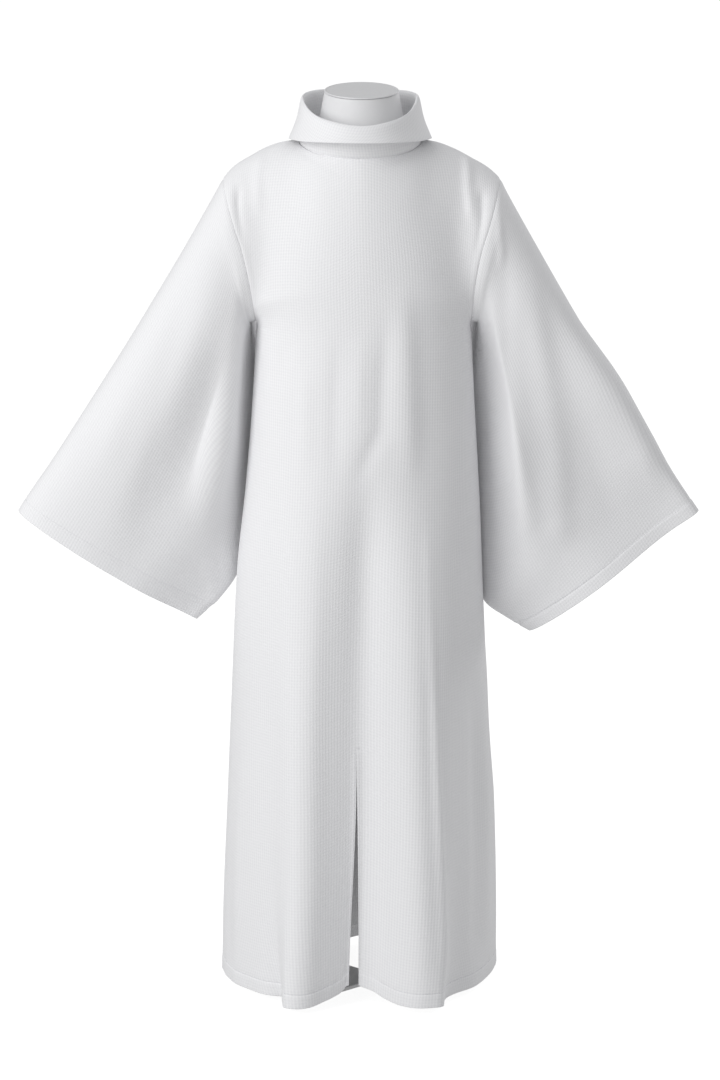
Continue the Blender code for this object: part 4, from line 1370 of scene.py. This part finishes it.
@dataclass
class DressForm:
    """The limbless form: torso with its neck, neck cap, pole and cross base."""

    shell: bpy.types.Material
    cap: bpy.types.Material
    paint: bpy.types.Material
    drape: Drape
    wall: float = 0.002
    rest_gap: float = 0.0004
    sides: int = 112
    # The cap on the neck's sloping end.
    cap_thick: float = 0.003
    cap_tilt: float = math.radians(6.0)
    cap_z: float = 1.5160
    cap_radius: float = 0.0608
    cap_y: float = -0.008
    cap_overhang: float = 0.0006
    cap_gap: float = 0.0003
    neck_dip: float = 0.0014
    # Where the torso and the neck stand, and the first, last and next ring of each.
    torso_x: float = 0.002
    torso_span: tuple[float, float, float] = (0.740, 1.365, 0.0125)
    neck_y: float = -0.006
    neck_span: tuple[float, float, float] = (1.434, 1.506, 0.004)
    neck_lean: float = 0.072
    # The shoulders: rings under the shoulder seams, falling off to the front and back.
    last_seam: int = 7
    neck_inset: float = 0.0055
    neck_drop: float = 0.0022
    rest_inwards: float = 0.3
    rest_downwards: float = 1.05
    shoulder_front: float = -0.076
    shoulder_back: float = 0.074
    shoulder_narrowing: float = 0.004
    shoulder_fullness: float = 1.8
    shoulder_mid_y: float = 0.009
    shoulder_fall: float = 9.6
    fall_at_neck: float = 0.62
    neck_reach: float = 0.10
    # The cross base and the pole.
    base_reach: float = 0.130
    base_width: float = 0.048
    base_corner: float = 0.004
    base_edge: float = 0.001
    pole_edge: float = 0.0008
    hard_edge: float = math.radians(40.0)

    torso = SizeTable(
        ("z", "half_width", "front_y", "back_y", "fullness"),
        (
            (0.740, 0.148, -0.104, 0.112, 2.2),
            (0.760, 0.156, -0.110, 0.119, 2.2),
            (0.860, 0.168, -0.114, 0.118, 2.2),
            (0.960, 0.152, -0.102, 0.096, 2.2),
            (1.040, 0.136, -0.096, 0.082, 2.2),
            (1.130, 0.148, -0.108, 0.092, 2.2),
            (1.220, 0.160, -0.117, 0.100, 2.2),
            (1.290, 0.172, -0.104, 0.101, 2.1),
            (1.345, 0.184, -0.084, 0.088, 1.9),
            (1.380, 0.188, -0.072, 0.074, 1.7),
        ),
    )
    neck = SizeTable(
        ("z", "half_width", "front_y", "back_y"),
        (
            (1.434, 0.0820, -0.076, 0.066),
            (1.446, 0.0765, -0.074, 0.062),
            (1.474, 0.0686, -0.072, 0.058),
            (1.512, 0.0605, -0.068, 0.052),
        ),
    )

    def ring_at(
        self, centre: Vector, half_width: float, front_y: float, back_y: float, fullness: float
    ) -> list[Vector]:
        """Closed ring round a centre, with its own reach to the front and to the back."""
        points = []
        power = 2.0 / fullness
        for i in range(self.sides + 1):
            angle = 2 * math.pi * (i % self.sides) / self.sides
            s, c = math.sin(angle), math.cos(angle)
            reach = (centre.y - front_y) if c > 0 else (back_y - centre.y)
            x = centre.x + half_width * signed_power(s, power)
            y = centre.y - reach * signed_power(c, power)
            points.append(Vector((x, y, centre.z)))
        return points

    def shoulder_rings(self) -> list[list[Vector]]:
        """Rings over the shoulders, which follow the shoulder seams from under the cloth."""
        rings = []
        last = self.last_seam
        for n in range(last, -1, -1):
            ends = []
            for hand in (-1, 1):
                seam = self.drape.shoulder_point(hand, n / self.drape.shoulder_columns)
                drop = self.wall / 2 + self.rest_gap + (self.neck_dip if n == 1 else 0.0)
                if n == 0:
                    ends.append(seam - Vector((hand * self.neck_inset, 0, self.neck_drop)))
                else:
                    inwards = hand * drop * self.rest_inwards
                    ends.append(seam - Vector((inwards, 0, drop * self.rest_downwards)))
            right, left = ends
            centre = (right + left) / 2
            tilt = (left.z - right.z) / (left.x - right.x)
            back = self.shoulder_back - self.shoulder_narrowing * n / last
            half_width = (left.x - right.x) / 2
            ring = self.ring_at(
                centre, half_width, self.shoulder_front, back, self.shoulder_fullness
            )
            for point in ring:
                near_neck = 1 - ease(abs(point.x) / self.neck_reach)
                away = abs(point.y - self.shoulder_mid_y)
                fall = self.shoulder_fall * away**2 * (1 - self.fall_at_neck * near_neck)
                point.z += tilt * (point.x - centre.x) - fall
            rings.append(ring)
        return rings

    def cap_ring(self, radius: float, height: float) -> list[Vector]:
        """Ring round the sloping end of the neck, at a height over its face."""
        centre = Vector((0.0, self.cap_y, self.cap_z - self.cap_thick))
        forward = Vector((0, -math.cos(self.cap_tilt), -math.sin(self.cap_tilt)))
        up = Vector((0, -math.sin(self.cap_tilt), math.cos(self.cap_tilt)))
        points = []
        for i in range(self.sides + 1):
            angle = 2 * math.pi * (i % self.sides) / self.sides
            across = Vector((1, 0, 0)) * math.sin(angle)
            points.append(centre + radius * (across + forward * math.cos(angle)) + up * height)
        return points

    def lofted(
        self, name: str, rings: list[list[Vector]], finish: bpy.types.Material
    ) -> bpy.types.Object:
        """Makes a closed solid through rings, bottom to top."""
        places = np.array(rings)
        rows, columns = places.shape[0] - 1, places.shape[1] - 1
        bm = bmesh.new()
        for vert, spot in lay_grid(bm, rows, columns).items():
            vert.co = Vector(places[spot])
        bmesh.ops.remove_doubles(bm, verts=bm.verts[:], dist=MERGE_GAP)
        bmesh.ops.holes_fill(bm, edges=[e for e in bm.edges if e.is_boundary], sides=0)
        bmesh.ops.recalc_face_normals(bm, faces=bm.faces[:])
        return self.shaded(object_from(name, bm, finish))

    def shaded(self, thing: bpy.types.Object) -> bpy.types.Object:
        """Shades an object smooth, with its sharper edges kept hard."""
        thing.data.shade_smooth()
        thing.data.set_sharp_from_angle(angle=self.hard_edge)
        return thing

    def build_torso(self) -> bpy.types.Object:
        """Builds the torso and its neck."""
        rings = []
        for z in spread_values(*self.torso_span):
            names = ("half_width", "front_y", "back_y", "fullness")
            sizes = [self.torso.at(name, z) for name in names]
            rings.append(self.ring_at(Vector((self.torso_x, 0.0, z)), *sizes))
        rings += self.shoulder_rings()
        for z in spread_values(*self.neck_span):
            sizes = [self.neck.at(name, z) for name in ("half_width", "front_y", "back_y")]
            ring = self.ring_at(Vector((0.0, self.neck_y, z)), *sizes, 2.0)
            lean = ease((z - self.neck_span[0]) / self.neck_lean) * math.tan(self.cap_tilt)
            for point in ring:
                point.z += (point.y - self.cap_y) * lean
            rings.append(ring)
        rings.append(self.cap_ring(self.cap_radius - self.cap_overhang, -self.cap_gap))
        return self.lofted("form_torso_shell", rings, self.shell)

    def build_cap(self) -> bpy.types.Object:
        """Builds the cap: a flat disc with a rounded rim and a shallow turned lip."""
        radius, thick = self.cap_radius, self.cap_thick
        profile = (
            (0.0012, 0.0002),
            (0.0003, 0.0006),
            (0.0, 0.0012),
            (0.0, thick - 0.0010),
            (0.0003, thick - 0.0004),
            (0.0010, thick),
            (0.0030, thick),
            (0.0036, thick - 0.0004),
            (0.0044, thick - 0.0004),
        )
        rings = [self.cap_ring(radius - inset, height) for inset, height in profile]
        return self.lofted("form_cap_disc", rings, self.cap)

    def build_pole(self) -> bpy.types.Object:
        """Builds the pole, with a small chamfer at both ends."""
        low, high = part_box("form_pole")
        centre = ((low[0] + high[0]) / 2, (low[1] + high[1]) / 2)
        radius, edge = (high[0] - low[0]) / 2, self.pole_edge
        profile = (
            (radius - edge, low[2]),
            (radius, low[2] + edge),
            (radius, high[2] - edge),
            (radius - edge, high[2]),
        )
        return self.turned("form_pole_tube", centre, profile)

    def build_base(self) -> bpy.types.Object:
        """Builds the base: a plate cut as a cross, with its upper edges rounded."""
        low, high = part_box("form_base")
        centre = Vector(((low[0] + high[0]) / 2, (low[1] + high[1]) / 2, low[2]))
        step = math.pi / 2
        bm = bmesh.new()
        outline = []
        for n in range(4):
            turn = (n + 0.5) * step
            along = Vector((math.sin(turn), -math.cos(turn), 0))
            beside = Vector((math.cos(turn), math.sin(turn), 0))
            inner = Vector((math.sin(turn + step / 2), -math.cos(turn + step / 2), 0))
            for point in (
                along * self.base_reach - beside * self.base_width / 2,
                along * self.base_reach + beside * self.base_width / 2,
                inner * self.base_width / 2 / math.sin(step / 2),
            ):
                outline.append(bm.verts.new(centre + point))
        face = bm.faces.new(outline)
        raised = bmesh.ops.extrude_face_region(bm, geom=[face])
        top = [v for v in raised["geom"] if isinstance(v, bmesh.types.BMVert)]
        bmesh.ops.translate(bm, verts=top, vec=(0, 0, high[2] - low[2]))
        bmesh.ops.recalc_face_normals(bm, faces=bm.faces[:])
        upright = [e for e in bm.edges if abs(e.verts[0].co.z - e.verts[1].co.z) > 0.001]
        corner = {"profile": 0.5, "affect": "EDGES", "material": -1}
        bmesh.ops.bevel(bm, geom=upright, offset=self.base_corner, segments=4, **corner)
        rim = [e for e in bm.edges if min(v.co.z for v in e.verts) > high[2] - 1e-6]
        bmesh.ops.bevel(bm, geom=rim, offset=self.base_edge, segments=3, **corner)
        return self.shaded(object_from("form_base_plate", bm, self.paint))

    def turned(
        self, name: str, centre: tuple[float, float], profile: tuple[tuple[float, float], ...]
    ) -> bpy.types.Object:
        """Makes a closed round piece from radii and heights."""
        rings = []
        for radius, z in profile:
            ring = []
            for i in range(self.sides + 1):
                angle = 2 * math.pi * (i % self.sides) / self.sides
                x = centre[0] + radius * math.sin(angle)
                y = centre[1] - radius * math.cos(angle)
                ring.append(Vector((x, y, z)))
            rings.append(ring)
        return self.lofted(name, rings, self.paint)


@dataclass
class Studio:
    """Camera, soft daylight from the left, a faint light from behind and a white floor."""

    distance: float = 8.0
    lens: float = 160.0
    sensor: float = 36.0
    far_clip: float = 200.0
    elevation: float = math.radians(12.0)
    target: tuple[float, float, float] = (-0.0025, 0.0, 0.763)
    key_place: tuple[float, float, float] = (-2.95, -2.78, 2.90)
    key_aim: tuple[float, float, float] = (0.0, 0.0, 1.15)
    key_size: float = 3.0
    key_power: float = 110.0
    fill_place: tuple[float, float, float] = (2.80, 2.80, 2.30)
    fill_size: float = 2.4
    fill_power: float = 34.0
    sky: float = 0.465
    floor_seen: float = 0.92
    floor_glow: float = 0.33
    floor_tone: str = "#8E8E8E"
    floor_radius: float = 60.0
    sky_colour: tuple[float, float, float, float] = (0.985, 0.990, 1.0, 1.0)

    def build(self) -> None:
        """Sets up everything round the part."""
        self.place_camera()
        self.place_lights()
        self.lay_floor()
        self.light_world()
        bpy.context.scene.view_settings.view_transform = "Standard"

    def place_camera(self) -> None:
        """Adds the camera, looking at the part's middle from a little above."""
        data = bpy.data.cameras.new("camera")
        data.lens = self.lens
        data.sensor_width = self.sensor
        data.clip_end = self.far_clip
        camera = bpy.data.objects.new("camera", data)
        away = Vector((0, -math.cos(self.elevation), math.sin(self.elevation)))
        camera.location = Vector(self.target) + away * self.distance
        camera.rotation_euler = (math.pi / 2 - self.elevation, 0, 0)
        bpy.context.scene.collection.objects.link(camera)
        bpy.context.scene.camera = camera

    def place_lights(self) -> None:
        """Adds the large soft light on the left and the faint one behind on the right."""
        self.place_light("key", self.key_place, self.key_size, self.key_power)
        self.place_light("fill", self.fill_place, self.fill_size, self.fill_power)

    def place_light(
        self, name: str, place: tuple[float, float, float], size: float, power: float
    ) -> None:
        """Adds one square soft light that looks at the upper part of the alb.

        Args:
            name: The light's name.
            place: Where it stands.
            size: Length of its side.
            power: Its power in watts.
        """
        data = bpy.data.lights.new(name, "AREA")
        data.energy = power
        data.size = size
        light = bpy.data.objects.new(name, data)
        light.location = place
        toward = Vector(self.key_aim) - Vector(place)
        light.rotation_euler = toward.to_track_quat("-Z", "Y").to_euler()
        bpy.context.scene.collection.objects.link(light)

    def lay_floor(self) -> None:
        """Adds the plain pale floor."""
        bm = bmesh.new()
        bmesh.ops.create_circle(bm, cap_ends=True, segments=96, radius=self.floor_radius)
        material, tree, shader = blank_material("white_floor")
        shader.inputs["Base Color"].default_value = srgb(self.floor_tone)
        shader.inputs["Roughness"].default_value = 1.0
        shader.inputs["Specular IOR Level"].default_value = 0.0
        shader.inputs["Emission Color"].default_value = (1, 1, 1, 1)
        path = add_node(tree, "ShaderNodeLightPath", {}, {})
        glow = add_node(
            tree,
            "ShaderNodeMix",
            {"data_type": "FLOAT", 2: self.floor_glow, 3: self.floor_seen},
            {0: path.outputs["Is Camera Ray"]},
        )
        tree.links.new(glow.outputs[0], shader.inputs["Emission Strength"])
        object_from("floor", bm, material)

    def light_world(self) -> None:
        """Gives the surroundings an even soft light, seen itself as white."""
        world = bpy.data.worlds.new("soft_white")
        bpy.context.scene.world = world
        world.use_nodes = True
        tree = world.node_tree
        ground = tree.nodes["Background"]
        path = add_node(tree, "ShaderNodeLightPath", {}, {})
        strength = add_node(
            tree,
            "ShaderNodeMix",
            {"data_type": "FLOAT", 2: self.sky, 3: 1.0},
            {0: path.outputs["Is Camera Ray"]},
        )
        tree.links.new(strength.outputs[0], ground.inputs["Strength"])
        ground.inputs["Color"].default_value = self.sky_colour


# Path from below upwards, height, right and left flank, then the fades at both ends.
FRONT_CREASES: tuple[Crease, ...] = (
    Crease(
        ((-0.016, -0.02), (-0.003, 0.222), (0.001, 0.529), (0.007, 0.831), (0.004, 0.981)),
        -0.0150, 0.036, 0.034, 0.0, 0.24,
    ),
    Crease(
        ((-0.102, -0.02), (-0.089, 0.222), (-0.085, 0.529), (-0.077, 0.831), (-0.080, 1.030)),
        0.0075, 0.042, 0.026, 0.0, 0.45,
    ),
    Crease(
        ((0.101, -0.02), (0.094, 0.222), (0.089, 0.461), (0.088, 0.698), (0.084, 0.914)),
        0.0088, 0.034, 0.028, 0.0, 0.34,
    ),
    Crease(
        ((0.185, 0.025), (0.186, 0.212), (0.186, 0.418), (0.180, 0.605)),
        -0.0034, 0.007, 0.010, 0.15, 0.45,
    ),
    Crease(
        ((0.205, 0.041), (0.203, 0.241), (0.200, 0.447), (0.196, 0.618)),
        0.0030, 0.008, 0.007, 0.15, 0.45,
    ),
    Crease(
        ((0.143, -0.02), (0.133, 0.200), (0.124, 0.400), (0.116, 0.600), (0.112, 0.720)),
        0.0052, 0.009, 0.006, 0.20, 0.35,
    ),
    Crease(((-0.127, -0.02), (-0.122, 0.180), (-0.114, 0.420)), -0.0030, 0.012, 0.010, 0.0, 0.60),
    Crease(((0.139, -0.02), (0.136, 0.160), (0.131, 0.360)), -0.0022, 0.010, 0.012, 0.0, 0.60),
    Crease(((0.114, 0.520), (0.112, 0.700), (0.108, 0.860)), 0.0034, 0.012, 0.040, 0.35, 0.35),
    Crease(((-0.205, -0.02), (-0.200, 0.250), (-0.192, 0.520)), 0.0070, 0.014, 0.062, 0.0, 0.55),
    Crease(((0.215, -0.02), (0.210, 0.200), (0.205, 0.460)), 0.0085, 0.046, 0.030, 0.0, 0.60),
    Crease(((0.214, 0.180), (0.206, 0.460), (0.198, 0.720)), 0.0045, 0.016, 0.020, 0.30, 0.40),
    Crease(((-0.043, 0.867), (-0.043, 1.016), (-0.035, 1.161)), -0.0026, 0.014, 0.016, 0.35, 0.40),
    Crease(
        ((-0.016, 0.867), (0.030, 0.975), (0.033, 1.038), (0.041, 1.181)),
        -0.0038, 0.014, 0.016, 0.30, 0.40,
    ),
    Crease(((-0.006, 0.933), (-0.003, 1.058), (0.002, 1.156)), 0.0018, 0.014, 0.012, 0.40, 0.45),
    Crease(((0.080, 0.858), (0.074, 1.041), (0.064, 1.232)), 0.0068, 0.024, 0.020, 0.35, 0.35),
    Crease(((-0.141, 1.015), (-0.131, 1.080), (-0.121, 1.138)), -0.0020, 0.012, 0.014, 0.40, 0.40),
    Crease(((-0.092, 0.891), (-0.093, 0.990), (-0.092, 1.098)), 0.0024, 0.015, 0.016, 0.35, 0.40),
    Crease(((-0.194, 1.248), (-0.202, 1.326), (-0.200, 1.372)), -0.0034, 0.007, 0.006, 0.25, 0.20),
    Crease(((-0.167, 1.306), (-0.169, 1.375), (-0.162, 1.422)), 0.0024, 0.010, 0.009, 0.40, 0.25),
    Crease(
        ((0.182, 1.296), (0.173, 1.362), (0.172, 1.396), (0.163, 1.424)),
        0.0042, 0.007, 0.010, 0.30, 0.20,
    ),
    Crease(((0.189, 1.238), (0.196, 1.306), (0.196, 1.365)), -0.0034, 0.006, 0.007, 0.30, 0.20),
)
BACK_CREASES: tuple[Crease, ...] = (
    Crease(
        ((-0.118, -0.02), (-0.104, 0.300), (-0.094, 0.640), (-0.090, 0.960)),
        0.0060, 0.034, 0.038, 0.0, 0.50,
    ),
    Crease(
        ((-0.052, -0.02), (-0.048, 0.280), (-0.046, 0.600), (-0.040, 0.860)),
        -0.0065, 0.036, 0.034, 0.0, 0.50,
    ),
    Crease(
        ((0.018, -0.02), (0.014, 0.320), (0.010, 0.700), (0.006, 1.040)),
        0.0050, 0.030, 0.034, 0.0, 0.55,
    ),
    Crease(
        ((0.082, -0.02), (0.074, 0.260), (0.066, 0.560), (0.064, 0.800)),
        -0.0060, 0.034, 0.032, 0.0, 0.50,
    ),
    Crease(
        ((0.136, -0.02), (0.128, 0.300), (0.118, 0.620), (0.110, 0.900)),
        0.0055, 0.030, 0.034, 0.0, 0.50,
    ),
    Crease(((-0.186, 0.050), (-0.182, 0.300), (-0.176, 0.560)), -0.0024, 0.010, 0.008, 0.20, 0.45),
    Crease(((0.172, 0.080), (0.170, 0.340), (0.164, 0.640)), -0.0020, 0.008, 0.010, 0.20, 0.45),
    Crease(((-0.066, 0.900), (-0.072, 1.080), (-0.084, 1.250)), -0.0028, 0.016, 0.018, 0.35, 0.45),
    Crease(((0.050, 0.880), (0.060, 1.060), (0.078, 1.240)), -0.0026, 0.018, 0.015, 0.35, 0.45),
    Crease(((-0.004, 0.980), (-0.002, 1.120), (0.004, 1.270)), 0.0024, 0.018, 0.016, 0.40, 0.40),
    Crease(((-0.186, 1.240), (-0.196, 1.310), (-0.196, 1.370)), -0.0032, 0.007, 0.006, 0.25, 0.25),
    Crease(((0.182, 1.230), (0.192, 1.305), (0.192, 1.368)), -0.0030, 0.006, 0.007, 0.25, 0.25),
    Crease(((-0.162, 1.300), (-0.160, 1.360), (-0.150, 1.420)), 0.0026, 0.010, 0.009, 0.35, 0.25),
    Crease(((0.158, 1.310), (0.158, 1.366), (0.146, 1.420)), 0.0022, 0.009, 0.010, 0.35, 0.25),
)
RIGHT_CREASES: tuple[Crease, ...] = (
    Crease(
        (
            (-0.374, 0.770), (-0.348, 0.876), (-0.331, 0.986),
            (-0.319, 1.053), (-0.297, 1.142), (-0.252, 1.274),
        ),
        -0.0018, 0.020, 0.022, 0.10, 0.30,
    ),
    Crease(
        ((-0.281, 0.690), (-0.245, 0.903), (-0.226, 1.060), (-0.206, 1.250)),
        0.0160, 0.068, 0.024, 0.34, 0.30,
    ),
    Crease(((-0.228, 0.640), (-0.218, 0.900), (-0.212, 1.150)), 0.0040, 0.030, 0.014, 0.02, 0.35),
    Crease(
        ((-0.436, 0.880), (-0.402, 0.983), (-0.352, 1.094), (-0.280, 1.215)),
        0.0030, 0.024, 0.024, 0.25, 0.35,
    ),
    Crease(
        ((-0.205, 0.700), (-0.190, 0.881), (-0.184, 1.015), (-0.180, 1.131)),
        -0.0012, 0.010, 0.012, 0.20, 0.25,
    ),
    Crease(((-0.246, 0.640), (-0.256, 0.700), (-0.262, 0.760)), 0.0022, 0.010, 0.012, 0.10, 0.50),
)
LEFT_CREASES: tuple[Crease, ...] = (
    Crease(
        ((0.336, 0.750), (0.327, 0.819), (0.321, 0.931), (0.292, 1.098), (0.263, 1.263)),
        0.0060, 0.024, 0.020, 0.10, 0.30,
    ),
    Crease(
        ((0.430, 0.780), (0.397, 0.876), (0.370, 0.960), (0.336, 1.070), (0.291, 1.246)),
        -0.0022, 0.022, 0.030, 0.15, 0.30,
    ),
    Crease(
        ((0.252, 0.720), (0.248, 0.780), (0.241, 0.931), (0.236, 1.131), (0.233, 1.309)),
        -0.0030, 0.018, 0.014, 0.15, 0.20,
    ),
    Crease(
        ((0.228, 1.222), (0.228, 1.262), (0.221, 1.321), (0.215, 1.354)),
        0.0026, 0.006, 0.006, 0.30, 0.15,
    ),
    Crease(
        ((0.500, 0.800), (0.460, 0.920), (0.400, 1.050), (0.350, 1.150)),
        0.0120, 0.105, 0.026, 0.32, 0.45,
    ),
)
# The hidden sides of the sleeves, in the same view from the front.
RIGHT_BACK_CREASES: tuple[Crease, ...] = (
    Crease(
        ((-0.400, 0.760), (-0.350, 0.930), (-0.290, 1.110), (-0.246, 1.240)),
        -0.0052, 0.022, 0.020, 0.10, 0.30,
    ),
    Crease(
        ((-0.310, 0.690), (-0.280, 0.860), (-0.244, 1.060), (-0.222, 1.200)),
        0.0054, 0.022, 0.024, 0.10, 0.30,
    ),
    Crease(((-0.450, 0.850), (-0.400, 0.990), (-0.330, 1.140)), 0.0030, 0.024, 0.022, 0.25, 0.40),
)
LEFT_BACK_CREASES: tuple[Crease, ...] = (
    Crease(
        ((0.390, 0.740), (0.348, 0.900), (0.300, 1.080), (0.250, 1.230)),
        -0.0050, 0.020, 0.022, 0.10, 0.30,
    ),
    Crease(
        ((0.320, 0.670), (0.286, 0.840), (0.250, 1.040), (0.226, 1.190)),
        0.0056, 0.024, 0.022, 0.10, 0.30,
    ),
    Crease(((0.462, 0.840), (0.410, 0.970), (0.340, 1.120)), 0.0028, 0.022, 0.024, 0.25, 0.40),
)


def put_on_frame(piece: bpy.types.Object, slot: str, *nodes: str) -> None:
    """Puts a finished piece on the frame and logs it.

    Args:
        piece: The piece.
        slot: The material slot that the log names for it.
        nodes: The solids that it stands for.
    """
    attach(piece, "root")
    if nodes:
        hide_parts(*nodes)
    LOG.info("%s: %d faces, slot %s", piece.name, len(piece.data.polygons), slot)


def dress(kit: SewingKit) -> None:
    """Builds the alb's pieces and puts each on the frame, with the cloth slot in the log."""
    right_creases = (RIGHT_CREASES, RIGHT_BACK_CREASES)
    left_creases = (LEFT_CREASES, LEFT_BACK_CREASES)
    pieces = (
        (BodyPanel(kit, Side.FRONT, "front_panel", (0.86, 1.48), 0.89, FRONT_CREASES), "front"),
        (BodyPanel(kit, Side.BACK, "back_panel", (0.62, 1.46), 0.74, BACK_CREASES), "back"),
        (
            Sleeve(kit, Hand.RIGHT, "right_sleeve", (0.78, 0.65), 0.42, *right_creases),
            "sleeve_right",
        ),
        (
            Sleeve(kit, Hand.LEFT, "left_sleeve", (0.78, 0.65), 0.42, *left_creases),
            "sleeve_left",
        ),
        (Collar(kit), "collar"),
    )
    for piece, node in pieces:
        shell, *stitches = piece.build()
        put_on_frame(shell, "white_cloth", node)
        for row in stitches:
            put_on_frame(row, "white_cloth")


def main() -> None:
    """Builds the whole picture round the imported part."""
    logging.basicConfig(level=logging.INFO, format="%(name)s: %(message)s")
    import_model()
    drape = Drape()
    form = DressForm(FORM_SHELL.make(), FORM_CAP.make(), STAND_PAINT.make(), drape)
    put_on_frame(form.build_torso(), "form_shell", "form_torso")
    put_on_frame(form.build_cap(), "form_cap", "form_neck_cap")
    put_on_frame(form.build_pole(), "stand_metal", "form_pole")
    put_on_frame(form.build_base(), "stand_metal", "form_base")
    dress(SewingKit(drape, PebbleCloth().make(), THREAD.make()))
    Studio().build()


if __name__ == "__main__":
    main()
